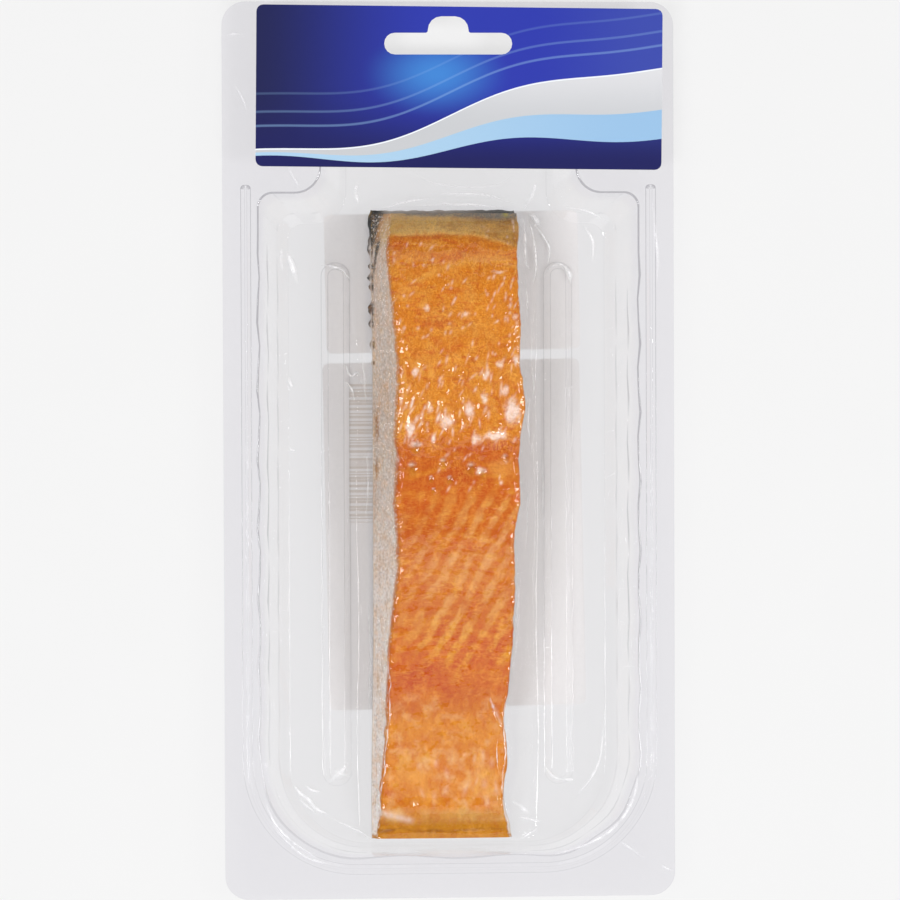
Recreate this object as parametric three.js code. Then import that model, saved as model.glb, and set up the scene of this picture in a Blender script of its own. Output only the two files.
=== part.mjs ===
// A hot smoked salmon portion in its clear hanging retail pack, lying on its back.
// The pack is a thermoformed tray, a clear lidding film drawn tight over the fish, a label on the
// header round the hang hole and two labels under the base.
// Millimetres. +Z is up, +Y runs towards the hang hole, and the origin is on the surface that the
// pack lies on, under the middle of its outline.
import * as THREE from 'three';
import { mergeVertices } from 'three/addons/utils/BufferGeometryUtils.js';

// Pack outline
const PACK_WIDTH = 113;
const PACK_LENGTH = 224;
const PACK_CORNER = 6;

// Sheet thicknesses and the clearance between neighbours
const TRAY_SHEET = 0.5;
const FILM_SHEET = 0.2;
const LABEL_SHEET = 0.2;
const GAP = 0.15;

// Heights of the upper faces, counted up from the surface that the pack lies on
const BASE_TOP = LABEL_SHEET + GAP + TRAY_SHEET;
const POCKET_DEPTH = 8;
const FLANGE_TOP = BASE_TOP + POCKET_DEPTH;

// Hang hole: a bar with round ends and a dome over its middle
const SLOT_WIDTH = 32;
const SLOT_LOW = 98.8;
const SLOT_HIGH = 104.2;
const SLOT_DOME_HALF = 5.1;
const SLOT_DOME_HIGH = 108.3;

// Pocket walls, as rings from the flange down to the floor. side, lobe, neck, neckTop and bottom
// place the ring's straight edges, and the radii round its corners.
const POCKET_RINGS = [
  { z: FLANGE_TOP, side: 47.6, lobe: 64.4, neck: 32.0, neckTop: 92.0, bottom: -101.6,
    footRadius: 25, lobeRadius: 3.6, throatRadius: 6.5, neckRadius: 9 },
  { z: BASE_TOP + 4.8, side: 45.2, lobe: 62.0, neck: 29.4, neckTop: 90.2, bottom: -100.7,
    footRadius: 24, lobeRadius: 4.2, throatRadius: 7.0, neckRadius: 8 },
  { z: BASE_TOP + 1.6, side: 42.6, lobe: 59.4, neck: 26.8, neckTop: 88.2, bottom: -99.8,
    footRadius: 22, lobeRadius: 4.6, throatRadius: 7.5, neckRadius: 7 },
  { z: BASE_TOP, side: 39.8, lobe: 56.8, neck: 25.2, neckTop: 85.6, bottom: -98.9,
    footRadius: 20, lobeRadius: 4.0, throatRadius: 8.0, neckRadius: 6 },
];

// Stiffening bead: a raised band that runs down one side, round the foot and up the other side
const BEAD_OUTER = 52.0;
const BEAD_INNER = 49.4;
const BEAD_END = 66.4;
const BEAD_FOOT_OUTER = -106.0;
const BEAD_FOOT_INNER = -103.4;
const BEAD_CORNER = 26;
const BEAD_HEIGHT = 0.7;
const BEAD_SLOPE = 0.5;

// Floor ribs: two long raised ribs, one on each side of the fish
const RIB_INNER = 24.3;
const RIB_OUTER = 31.7;
const RIB_TOP_END = 47.2;
const RIB_FOOT_END = -84.5;
const RIB_HEIGHT = 1.6;
const RIB_SLOPE = 1.2;

// Labels: centre, size, corner radius and the slight turn they were stuck on with
const HEADER_LABEL = { x: 2.8, y: 90.6, width: 101.6, length: 40.2, corner: 1.7, turn: -0.6 };
const UPPER_LABEL = { x: 1.5, y: 42.2, width: 64, length: 34.8, corner: 1.5, turn: 1.0 };
const LOWER_LABEL = { x: 1.9, y: -21.3, width: 64.8, length: 87.2, corner: 1.5, turn: 1.0 };

// Fish: skin under flesh. Each station across the portion gives the two long edges of the top face
// and the height of the top face over the surface that the pack lies on.
const SKIN_LOW = BASE_TOP + GAP;
const SKIN_SHEET = 0.9;
const FLESH_LOW = SKIN_LOW + SKIN_SHEET + GAP;
const FLESH_STATIONS = [
  { y: 59.2, left: -14.8, right: 16.8, top: 11.0 },
  { y: 57.6, left: -15.1, right: 16.8, top: 15.4 },
  { y: 54.4, left: -15.7, right: 16.6, top: 20.6 },
  { y: 50.0, left: -16.3, right: 15.9, top: 24.2 },
  { y: 43.0, left: -16.1, right: 15.9, top: 26.9 },
  { y: 34.0, left: -15.2, right: 16.3, top: 28.1 },
  { y: 22.0, left: -14.2, right: 16.2, top: 28.5 },
  { y: 12.5, left: -14.4, right: 17.5, top: 28.3 },
  { y: 4.0, left: -14.6, right: 16.4, top: 27.6 },
  { y: -1.5, left: -14.2, right: 15.9, top: 26.2 },
  { y: -7.0, left: -14.4, right: 16.4, top: 25.9 },
  { y: -12.0, left: -14.8, right: 16.4, top: 25.3 },
  { y: -20.0, left: -14.1, right: 15.0, top: 24.2 },
  { y: -30.0, left: -14.1, right: 15.4, top: 22.2 },
  { y: -42.0, left: -15.4, right: 15.2, top: 19.8 },
  { y: -56.0, left: -16.3, right: 14.3, top: 17.0 },
  { y: -68.0, left: -16.5, right: 13.2, top: 14.6 },
  { y: -78.0, left: -17.1, right: 14.0, top: 12.8 },
  { y: -86.0, left: -17.8, right: 13.2, top: 11.2 },
  { y: -91.4, left: -17.8, right: 13.8, top: 9.6 },
  { y: -93.2, left: -18.0, right: 14.4, top: 7.6 },
  { y: -97.4, left: -18.6, right: 15.2, top: 5.4 },
];
const FLESH_STEPS = 46;
const BASE_LEFT_MIDDLE = -18.7;
const BASE_LEFT_END = -19.3;
const BASE_RIGHT_OVERHANG = 0.6;
const SIDE_SHARES = [0, 0.3, 0.62, 0.9];
const TOP_SHARES = [0.035, 0.17, 0.34, 0.5, 0.66, 0.83, 0.965];
const EDGE_DROP = 0.7;
const CROWN = 0.35;
const GROOVE_Y = -1.2;
const GROOVE_DEPTH = 0.7;
const GROOVE_WIDTH = 2.4;

// Skin edge: how far it shows past the flesh at the back end, the upper left, the sides and the
// belly end
const SKIN_PAST_BACK = 1.0;
const SKIN_PAST_LEFT = 0.9;
const SKIN_PAST_SIDE = 0.25;
const SKIN_PAST_BELLY = 0.3;

// Film over the fish: clearance to the flesh, and where it comes down on the tray floor
const FILM_SIDE_CLEARANCE = 0.5;
const FILM_TOP_CLEARANCE = 0.4;
const FILM_END_CLEARANCE = 0.5;
const FILM_FOOT_LEFT = -22.5;
const FILM_FOOT_RIGHT = 22.4;
const FILM_FOOT_BACK = 63.2;
const FILM_FOOT_BELLY = -98.55;
const FILM_FOOT_BOW = 0.6;
const FILM_FOOT_WAVE = 0.3;
const FILM_FLARE_POWER = 2.4;

const ARC_STEPS = 9;
const DEGREE = Math.PI / 180;

// Outlines

// Rounds the corners of a polygon given as [x, y, radius], with the same number of points on every
// corner, so that two outlines with matching corners match point for point.
function roundedLoop(corners, steps = ARC_STEPS) {
  const loop = [];
  corners.forEach(([x, y, radius], index) => {
    const corner = new THREE.Vector2(x, y);
    const [beforeX, beforeY] = corners.at(index - 1);
    const [afterX, afterY] = corners[(index + 1) % corners.length];
    const toBefore = new THREE.Vector2(beforeX, beforeY).sub(corner).normalize();
    const toAfter = new THREE.Vector2(afterX, afterY).sub(corner).normalize();
    const half = Math.acos(THREE.MathUtils.clamp(toBefore.dot(toAfter), -1, 1)) / 2;
    const bisector = toBefore.clone().add(toAfter).normalize();
    const centre = corner.clone().addScaledVector(bisector, radius / Math.sin(half));
    const start = corner.clone().addScaledVector(toBefore, radius / Math.tan(half)).sub(centre);
    const end = corner.clone().addScaledVector(toAfter, radius / Math.tan(half)).sub(centre);
    const turn = Math.atan2(start.cross(end), start.dot(end));
    for (let step = 0; step <= steps; step += 1) {
      loop.push(start.clone().rotateAround(new THREE.Vector2(), turn * step / steps).add(centre));
    }
  });
  return loop;
}

function packOutline() {
  const x = PACK_WIDTH / 2;
  const y = PACK_LENGTH / 2;
  return roundedLoop([
    [-x, -y, PACK_CORNER], [x, -y, PACK_CORNER], [x, y, PACK_CORNER], [-x, y, PACK_CORNER],
  ], 6);
}

function slotOutline() {
  const x = SLOT_WIDTH / 2;
  const endRadius = (SLOT_HIGH - SLOT_LOW) / 2 - 0.05;
  return roundedLoop([
    [-x, SLOT_LOW, endRadius], [x, SLOT_LOW, endRadius], [x, SLOT_HIGH, endRadius],
    [SLOT_DOME_HALF, SLOT_HIGH, 0.6], [SLOT_DOME_HALF, SLOT_DOME_HIGH, 3.4],
    [-SLOT_DOME_HALF, SLOT_DOME_HIGH, 3.4], [-SLOT_DOME_HALF, SLOT_HIGH, 0.6],
    [-x, SLOT_HIGH, endRadius],
  ], 4);
}

function pocketOutline(ring) {
  const { side, lobe, neck, neckTop, bottom } = ring;
  const { footRadius, lobeRadius, throatRadius, neckRadius } = ring;
  return roundedLoop([
    [-side, bottom, footRadius], [side, bottom, footRadius], [side, lobe, lobeRadius],
    [neck, lobe, throatRadius], [neck, neckTop, neckRadius], [-neck, neckTop, neckRadius],
    [-neck, lobe, throatRadius], [-side, lobe, lobeRadius],
  ]);
}

// The bead's outline, drawn in by an inset for its upper edge
function beadOutline(inset) {
  const outer = BEAD_OUTER - inset;
  const inner = BEAD_INNER + inset;
  const end = BEAD_END - inset;
  const low = BEAD_FOOT_OUTER + inset;
  const high = BEAD_FOOT_INNER - inset;
  const outerCorner = BEAD_CORNER + BEAD_OUTER - BEAD_INNER - inset;
  const innerCorner = BEAD_CORNER + inset;
  const tip = 0.8 - inset;
  return roundedLoop([
    [-outer, low, outerCorner], [outer, low, outerCorner], [outer, end, tip], [inner, end, tip],
    [inner, high, innerCorner], [-inner, high, innerCorner], [-inner, end, tip], [-outer, end, tip],
  ]);
}

function ribOutline(side, inset) {
  const inner = side * (RIB_INNER + inset);
  const outer = side * (RIB_OUTER - inset);
  const [west, east] = [Math.min(inner, outer), Math.max(inner, outer)];
  const low = RIB_FOOT_END + inset;
  const high = RIB_TOP_END - inset;
  const radius = (east - west) / 2 - 0.1;
  return roundedLoop([
    [west, low, radius], [east, low, radius], [east, high, radius], [west, high, radius],
  ], 4);
}

// Sheets: open surfaces kept as a list of triangles, each with three THREE.Vector3 corners and
// facing up, which are then given their thickness

function raised(loop, z) {
  return loop.map((point) => new THREE.Vector3(point.x, point.y, z));
}

// A level area inside an outline and outside the holes in it
function levelArea(outline, holes, z) {
  const faces = THREE.ShapeUtils.triangulateShape(outline, holes);
  const points = raised([outline, ...holes].flat(), z);
  return faces.map(([a, b, c]) => {
    const turn = points[b].clone().sub(points[a]).cross(points[c].clone().sub(points[a])).z;
    return turn > 0 ? [points[a], points[b], points[c]] : [points[a], points[c], points[b]];
  });
}

// A sloping wall between an outer and an inner loop, both counter-clockwise and point for point
function slopingWall(outer, inner) {
  return outer.flatMap((point, index) => {
    const next = (index + 1) % outer.length;
    return [[point, outer[next], inner[next]], [point, inner[next], inner[index]]];
  });
}

// A surface through rows of points. Rows run from +Y to -Y and each row from -X to +X.
function rowSurface(rows) {
  return rows.slice(1).flatMap((row, index) => {
    const above = rows[index];
    return row.slice(1).flatMap((point, column) => [
      [row[column], point, above[column + 1]],
      [row[column], above[column + 1], above[column]],
    ]);
  });
}

// Turns an open sheet into a closed solid: the sheet, its copy below, and the cut edges. The copy
// is straight below, except under the steep points, where it is set off along the surface's normal.
function sheetSolid(triangles, thickness, steepPoints = new Set()) {
  const points = [];
  const indexByPlace = new Map();
  const indexOf = (point) => {
    const place = point.toArray().map((value) => value.toFixed(5)).join();
    if (!indexByPlace.has(place)) {
      indexByPlace.set(place, points.length);
      points.push(point);
    }
    return indexByPlace.get(place);
  };
  const faces = triangles.map((triangle) => triangle.map(indexOf));
  const edges = new Set(faces.flatMap(([a, b, c]) => [`${a},${b}`, `${b},${c}`, `${c},${a}`]));
  const below = points.length;
  const solid = faces.flatMap(([a, b, c]) => [a, b, c, a + below, c + below, b + below]);
  edges.forEach((edge) => {
    const [a, b] = edge.split(',').map(Number);
    if (!edges.has(`${b},${a}`)) {
      solid.push(b, a, a + below, b, a + below, b + below);
    }
  });
  const upper = new THREE.BufferGeometry().setFromPoints(points);
  upper.setIndex(faces.flat());
  upper.computeVertexNormals();
  const lower = points.map((point, index) => {
    const normal = new THREE.Vector3(0, 0, 1);
    if (steepPoints.has(point)) {
      normal.fromBufferAttribute(upper.attributes.normal, index);
    }
    return point.clone().addScaledVector(normal, -thickness);
  });
  const geometry = new THREE.BufferGeometry().setFromPoints([...points, ...lower]);
  geometry.setIndex(solid);
  return geometry;
}

// Loft through closed rings of equal length, each in a plane across the Y axis, with flat ends.
// The rings run from +Y to -Y, and each goes up its left side and down its right side.
function loftSolid(rings) {
  const size = rings[0].length;
  const faces = [];
  rings.slice(1).forEach((ring, index) => {
    ring.forEach((_, k) => {
      const [a, b] = [index * size + k, index * size + (k + 1) % size];
      faces.push(a, b + size, b, a, a + size, b + size);
    });
  });
  const endFaces = (ring, offset, outward) => {
    const section = ring.map((point) => new THREE.Vector2(point.x, point.z));
    THREE.ShapeUtils.triangulateShape(section, []).forEach(([a, b, c]) => {
      const turn = section[b].clone().sub(section[a]).cross(section[c].clone().sub(section[a]));
      const face = turn * outward < 0 ? [a, b, c] : [a, c, b];
      faces.push(...face.map((index) => index + offset));
    });
  };
  endFaces(rings[0], 0, 1);
  endFaces(rings.at(-1), (rings.length - 1) * size, -1);
  const geometry = new THREE.BufferGeometry().setFromPoints(rings.flat());
  geometry.setIndex(faces);
  return geometry;
}

function plateSolid(outline, holes, low, thickness) {
  const shape = new THREE.Shape(outline);
  shape.holes = holes.map((hole) => new THREE.Path(hole));
  const geometry = new THREE.ExtrudeGeometry(shape, { depth: thickness, bevelEnabled: false });
  geometry.translate(0, 0, low);
  geometry.deleteAttribute('normal');
  geometry.deleteAttribute('uv');
  return mergeVertices(geometry);
}

// Fish

// Eases from 0 to 1 as the value goes from one place to another, in either direction
function easeBetween(from, to, value) {
  const share = THREE.MathUtils.clamp((value - from) / (to - from), 0, 1);
  return share * share * (3 - 2 * share);
}

// Catmull-Rom value of one field of the stations at a place along the portion
function stationValue(field, y) {
  const found = FLESH_STATIONS.findIndex((station) => station.y <= y);
  const high = Math.max(found, 1);
  const at = (index) => FLESH_STATIONS[THREE.MathUtils.clamp(index, 0, FLESH_STATIONS.length - 1)];
  const [before, start, end, after] = [high - 2, high - 1, high, high + 1].map(at);
  const share = (start.y - y) / (start.y - end.y);
  const slope = (a, b) => (b[field] - a[field]) / Math.max(a.y - b.y, 1e-6) * (start.y - end.y);
  const startSlope = before === start ? slope(start, end) : slope(before, end);
  const endSlope = after === end ? slope(start, end) : slope(start, after);
  const square = share * share;
  const cube = square * share;
  return (2 * cube - 3 * square + 1) * start[field] + (cube - 2 * square + share) * startSlope
    + (3 * square - 2 * cube) * end[field] + (cube - square) * endSlope;
}

function baseLeft(y) {
  const end = easeBetween(-40, -90, y) + easeBetween(20, 50, y) * 0.5;
  return THREE.MathUtils.lerp(BASE_LEFT_MIDDLE, BASE_LEFT_END, end);
}

function baseRight(y) {
  return stationValue('right', y) + BASE_RIGHT_OVERHANG;
}

// Relief of the top face: rounded long edges, a slight crown and the groove along the midline
function topRelief(share, y) {
  const edge = Math.abs(2 * share - 1);
  const groove = Math.exp(-(((y - GROOVE_Y) / GROOVE_WIDTH) ** 2));
  return CROWN * (1 - edge ** 2) - EDGE_DROP * edge ** 12 - GROOVE_DEPTH * groove;
}

// The portion's section from the left foot over the top to the right foot. The film's section is
// the same one, moved off the flesh and flared out to its foot on the tray floor.
function fishSection(y, film) {
  const left = stationValue('left', y);
  const right = stationValue('right', y);
  const top = stationValue('top', y);
  const side = film ? FILM_SIDE_CLEARANCE : 0;
  const over = film ? FILM_TOP_CLEARANCE : 0;
  const wave = FILM_FOOT_WAVE * Math.sin(y / 9);
  const lean = film ? FILM_END_CLEARANCE * (easeBetween(44, 57, y) - easeBetween(-86, -92, y)) : 0;
  const flareLeft = film ? baseLeft(y) - side - FILM_FOOT_LEFT - wave : 0;
  const flareRight = film ? FILM_FOOT_RIGHT - wave - baseRight(y) - side : 0;
  const low = film ? BASE_TOP + GAP + FILM_SHEET : FLESH_LOW;
  const sidePoint = (foot, edge, flare, share) => new THREE.Vector3(
    THREE.MathUtils.lerp(foot, edge, share) + flare * (1 - share) ** FILM_FLARE_POWER,
    y + lean,
    THREE.MathUtils.lerp(low, top + over - EDGE_DROP, share),
  );
  const [leftFoot, rightFoot] = [baseLeft(y) - side, baseRight(y) + side];
  const leftSide = SIDE_SHARES.map((share) => sidePoint(leftFoot, left - side, -flareLeft, share));
  const rightSide = SIDE_SHARES.map((share) => sidePoint(rightFoot, right + side, flareRight, share));
  const across = TOP_SHARES.map((share) => new THREE.Vector3(
    THREE.MathUtils.lerp(left - side, right + side, share),
    y + lean,
    top + over + topRelief(share, y),
  ));
  return [...leftSide, ...across, ...rightSide.reverse()];
}

function stationPlaces() {
  const [first, last] = [FLESH_STATIONS[0].y, FLESH_STATIONS.at(-1).y];
  return Array.from({ length: FLESH_STEPS + 1 }, (_, index) => {
    const share = index / FLESH_STEPS;
    const eased = share - 0.06 * Math.sin(2 * Math.PI * share);
    return THREE.MathUtils.lerp(first, last, eased);
  });
}

function fleshGeometry() {
  return loftSolid(stationPlaces().map((y) => fishSection(y, false)));
}

function skinGeometry() {
  const [back, belly] = [FLESH_STATIONS[0].y, FLESH_STATIONS.at(-1).y];
  const steps = 22;
  const left = [];
  const right = [];
  for (let step = 0; step <= steps; step += 1) {
    const y = THREE.MathUtils.lerp(belly - SKIN_PAST_BELLY, back + SKIN_PAST_BACK, step / steps);
    const along = THREE.MathUtils.clamp(y, belly, back);
    const showing = SKIN_PAST_SIDE + SKIN_PAST_LEFT * easeBetween(15, 40, y);
    const tuck = 0.7 * easeBetween(back - 1, back + SKIN_PAST_BACK, y);
    left.push(new THREE.Vector2(baseLeft(along) - showing + tuck, y));
    right.push(new THREE.Vector2(baseRight(along) + SKIN_PAST_SIDE - tuck, y));
  }
  return plateSolid([...right, ...left.reverse()], [], SKIN_LOW, SKIN_SHEET);
}

// Film over the fish: its sections, closed at both ends by rows that come down to the floor
function filmOverFish() {
  const rows = stationPlaces().map((y) => fishSection(y, true));
  const floor = BASE_TOP + GAP + FILM_SHEET;
  const endRow = (row, y, keep, outward = 0) => {
    const count = row.length - 1;
    return row.map((point, index) => {
      const spread = THREE.MathUtils.lerp(row[0].x, row[count].x, index / count);
      const bow = outward * Math.sin(Math.PI * index / count);
      return new THREE.Vector3(
        THREE.MathUtils.lerp(spread, point.x, keep),
        y + bow,
        floor + (point.z - floor) * keep,
      );
    });
  };
  const [first, last] = [rows[0], rows.at(-1)];
  const backReach = FILM_FOOT_BACK - first[0].y;
  const bellyReach = FILM_FOOT_BELLY - last[0].y;
  return [
    endRow(first, FILM_FOOT_BACK, 0, FILM_FOOT_BOW),
    endRow(first, first[0].y + backReach * 0.5, 0.55, FILM_FOOT_BOW / 2),
    endRow(first, first[0].y + 0.1, 1),
    ...rows.slice(1, -1),
    endRow(last, last[0].y - 0.05, 1),
    endRow(last, FILM_FOOT_BELLY, 0),
  ];
}

function borderOf(rows) {
  const top = rows[0];
  const bottom = rows.at(-1);
  const leftEdge = rows.slice(1, -1).map((row) => row[0]);
  const rightEdge = rows.slice(1, -1).map((row) => row.at(-1)).reverse();
  return [...[...top].reverse(), ...leftEdge, ...bottom, ...rightEdge];
}

// Tray and film share one relief: header, flange, bead, pocket walls, floor and ribs

function formedSheet(lift, floorHoles) {
  const slot = slotOutline();
  const beadFoot = beadOutline(0);
  const beadRidge = beadOutline(BEAD_SLOPE);
  const rings = POCKET_RINGS.map((ring) => raised(pocketOutline(ring), ring.z + lift));
  const ribSides = [-1, 1];
  const ribFeet = ribSides.map((side) => ribOutline(side, 0));
  const flangeHoles = [slot, beadFoot, pocketOutline(POCKET_RINGS[0])];
  const floorOutline = pocketOutline(POCKET_RINGS.at(-1));
  const flange = levelArea(packOutline(), flangeHoles, FLANGE_TOP + lift);
  const bead = [
    ...slopingWall(raised(beadFoot, FLANGE_TOP + lift), raised(beadRidge, FLANGE_TOP + BEAD_HEIGHT + lift)),
    ...levelArea(beadRidge, [], FLANGE_TOP + BEAD_HEIGHT + lift),
  ];
  const walls = rings.slice(1).flatMap((ring, index) => slopingWall(rings[index], ring));
  const floor = levelArea(floorOutline, [...ribFeet, ...floorHoles], BASE_TOP + lift);
  const ribs = ribSides.flatMap((side, index) => {
    const ridge = ribOutline(side, RIB_SLOPE);
    const top = BASE_TOP + RIB_HEIGHT + lift;
    return [
      ...slopingWall(raised(ribFeet[index], BASE_TOP + lift), raised(ridge, top)),
      ...levelArea(ridge, [], top),
    ];
  });
  return [...flange, ...bead, ...walls, ...floor, ...ribs];
}

function trayGeometry() {
  return sheetSolid(formedSheet(0, []), TRAY_SHEET);
}

function filmGeometry() {
  const rows = filmOverFish();
  const foot = borderOf(rows).map((point) => new THREE.Vector2(point.x, point.y));
  const sheet = [...formedSheet(GAP + FILM_SHEET, [foot]), ...rowSurface(rows)];
  const steepPoints = new Set(rows.slice(1, -1).flatMap((row) => row.slice(1, -1)));
  return sheetSolid(sheet, FILM_SHEET, steepPoints);
}

// Labels

function labelOutline({ x, y, width, length, corner, turn }) {
  const middle = new THREE.Vector2(x, y);
  const corners = [[-1, -1], [1, -1], [1, 1], [-1, 1]].map(([across, along]) => {
    const point = new THREE.Vector2(x + across * width / 2, y + along * length / 2);
    point.rotateAround(middle, turn * DEGREE);
    return [point.x, point.y, corner];
  });
  return roundedLoop(corners, 4);
}

function headerLabelGeometry() {
  const low = FLANGE_TOP + GAP + FILM_SHEET + GAP;
  return plateSolid(labelOutline(HEADER_LABEL), [slotOutline()], low, LABEL_SHEET);
}

function backLabelGeometry(label) {
  return plateSolid(labelOutline(label), [], 0, LABEL_SHEET);
}

// Object

function subPart(name, geometry, colour, roughness) {
  const material = new THREE.MeshStandardMaterial({ color: colour, roughness, metalness: 0 });
  geometry.computeVertexNormals();
  const mesh = new THREE.Mesh(geometry, material);
  mesh.name = name;
  return mesh;
}

const pack = new THREE.Group();
pack.add(
  subPart('tray', trayGeometry(), 0xdfe0e4, 0.15),
  subPart('lidding_film', filmGeometry(), 0xe9e9ee, 0.1),
  subPart('fillet_flesh', fleshGeometry(), 0xdc8a44, 0.45),
  subPart('fillet_skin', skinGeometry(), 0x4a4a44, 0.5),
  subPart('header_label', headerLabelGeometry(), 0x35388c, 0.35),
  subPart('back_label_upper', backLabelGeometry(UPPER_LABEL), 0xd6d4d2, 0.6),
  subPart('back_label_lower', backLabelGeometry(LOWER_LABEL), 0xd6d4d2, 0.6),
);

export default pack;
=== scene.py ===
import math

import bpy
import numpy as np
from mathutils import Matrix, Vector
from mathutils.bvhtree import BVHTree
from mathutils.geometry import delaunay_2d_cdt


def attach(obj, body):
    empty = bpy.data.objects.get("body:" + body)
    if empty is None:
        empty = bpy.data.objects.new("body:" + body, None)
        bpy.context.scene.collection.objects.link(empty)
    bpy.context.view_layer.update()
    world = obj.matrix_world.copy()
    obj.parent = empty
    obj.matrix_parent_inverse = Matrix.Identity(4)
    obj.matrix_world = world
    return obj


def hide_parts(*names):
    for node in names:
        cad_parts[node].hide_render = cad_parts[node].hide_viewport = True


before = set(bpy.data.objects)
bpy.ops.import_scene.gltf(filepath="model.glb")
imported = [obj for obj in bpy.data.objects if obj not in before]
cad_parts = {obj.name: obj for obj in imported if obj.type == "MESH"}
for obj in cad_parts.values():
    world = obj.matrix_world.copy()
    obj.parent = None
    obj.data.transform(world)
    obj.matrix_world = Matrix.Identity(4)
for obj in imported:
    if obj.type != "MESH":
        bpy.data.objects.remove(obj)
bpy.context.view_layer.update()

MM = 0.001

# Pack sizes, as in the part's source
PACK_WIDTH = 113
PACK_LENGTH = 224
PACK_CORNER = 6
TRAY_SHEET = 0.5
LABEL_SHEET = 0.2
FILM_SHEET = 0.2
GAP = 0.15
BASE_TOP = LABEL_SHEET + GAP + TRAY_SHEET
FLANGE_TOP = BASE_TOP + 8
FILM_LIFT = GAP + FILM_SHEET

SLOT_WIDTH = 32
SLOT_LOW = 98.8
SLOT_HIGH = 104.2
SLOT_DOME_HALF = 5.1
SLOT_DOME_HIGH = 108.3
SLOT_THROAT = 0.6
SLOT_CROWN = 3.4

# Pocket rings from the flange down to the floor: height, side, lobe, neck, neck top, bottom, and
# the radii of the foot, lobe, throat and neck corners
POCKET_RINGS = np.array([
    [FLANGE_TOP, 47.6, 64.4, 32.0, 92.0, -101.6, 25, 3.6, 6.5, 9],
    [BASE_TOP + 4.8, 45.2, 62.0, 29.4, 90.2, -100.7, 24, 4.2, 7.0, 8],
    [BASE_TOP + 1.6, 42.6, 59.4, 26.8, 88.2, -99.8, 22, 4.6, 7.5, 7],
    [BASE_TOP, 39.8, 56.8, 25.2, 85.6, -98.9, 20, 4.0, 8.0, 6],
])
POCKET_BEND = 0.35
POCKET_MARGIN = 0.6
FLOOR_MARGIN = 0.12
POCKET_WAVE = 0.7
POCKET_WAVE_PITCH = 17.5
# What one millimetre outwards adds to each number of a pocket ring
POCKET_OUTWARD = np.array([0, 1, 1, 1, 1, -1, 1, 1, -1, 1])

BEAD_OUTER = 52.0
BEAD_INNER = 49.4
BEAD_END = 66.4
BEAD_FOOT_OUTER = -106.0
BEAD_FOOT_INNER = -103.4
BEAD_CORNER = 26
BEAD_HEIGHT = 0.7
BEAD_RUN = 1.1
BEAD_MARGIN = 0.25

RIB_INNER = 24.3
RIB_OUTER = 31.7
RIB_TOP_END = 47.2
RIB_FOOT_END = -84.5
RIB_HEIGHT = 1.6
RIB_RUN = 1.9
RIB_MARGIN = 0.3

# Fish sizes, as in the part's source: place along the portion, left edge, right edge, top
FISH_STATIONS = np.array([
    [59.2, -14.8, 16.8, 11.0], [57.6, -15.1, 16.8, 15.4], [54.4, -15.7, 16.6, 20.6],
    [50.0, -16.3, 15.9, 24.2], [43.0, -16.1, 15.9, 26.9], [34.0, -15.2, 16.3, 28.1],
    [22.0, -14.2, 16.2, 28.5], [12.5, -14.4, 17.5, 28.3], [4.0, -14.6, 16.4, 27.6],
    [-1.5, -14.2, 15.9, 26.2], [-7.0, -14.4, 16.4, 25.9], [-12.0, -14.8, 16.4, 25.3],
    [-20.0, -14.1, 15.0, 24.2], [-30.0, -14.1, 15.4, 22.2], [-42.0, -15.4, 15.2, 19.8],
    [-56.0, -16.3, 14.3, 17.0], [-68.0, -16.5, 13.2, 14.6], [-78.0, -17.1, 14.0, 12.8],
    [-86.0, -17.8, 13.2, 11.2], [-91.4, -17.8, 13.8, 9.6], [-93.2, -18.0, 14.4, 7.6],
    [-97.4, -18.6, 15.2, 5.4],
])
FISH_BACK = FISH_STATIONS[0, 0]
FISH_BELLY = FISH_STATIONS[-1, 0]
SKIN_LOW = BASE_TOP + GAP
SKIN_SHEET = 0.9
FLESH_LOW = SKIN_LOW + SKIN_SHEET + GAP
EDGE_RADIUS = 1.3
GROOVE_Y = -1.2
STRIPE_PITCH = 4.0
STRIPE_TURN = 1.05


# Numbers

def ease(start, end, value):
    """Goes smoothly from 0 to 1 as value goes from start to end, in either direction."""
    share = np.clip((value - start) / (end - start), 0, 1)
    return share * share * (3 - 2 * share)


def bell(value, middle, reach):
    """A soft hill of height 1 at the middle, which falls away over the reach."""
    return np.exp(-((value - middle) / reach) ** 2)


def lattice(column, row, seed):
    """A repeatable number from -1 to 1 for each point of a square lattice."""
    mixed = (column * 374761393 + row * 668265263 + seed * 97471129) & 0xFFFFFFFF
    mixed = ((mixed ^ (mixed >> 13)) * 1274126177) & 0xFFFFFFFF
    return ((mixed ^ (mixed >> 16)) & 0xFFFF) / 32767.5 - 1


def swell(x, y, size, seed):
    """Smooth random hills from -1 to 1, about size across."""
    x, y = np.broadcast_arrays(np.asarray(x, float) / size, np.asarray(y, float) / size)
    column, row = np.floor(x).astype(np.int64), np.floor(y).astype(np.int64)
    across, along = ease(0, 1, x - column), ease(0, 1, y - row)
    low = lattice(column, row, seed) * (1 - across) + lattice(column + 1, row, seed) * across
    high = lattice(column, row + 1, seed) * (1 - across) + lattice(column + 1, row + 1, seed) * across
    return low * (1 - along) + high * along


def rough(x, y, size, seed, octaves=3):
    """Random hills with finer hills on them."""
    total = sum(swell(x, y, size / 2 ** n, seed + n) / 2 ** n for n in range(octaves))
    return total / 1.5


def ridged(x, y, size, seed):
    """Random ridges, sharp and of height 1 where the hills pass through 0."""
    return 1 - np.abs(rough(x, y, size, seed))


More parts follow.
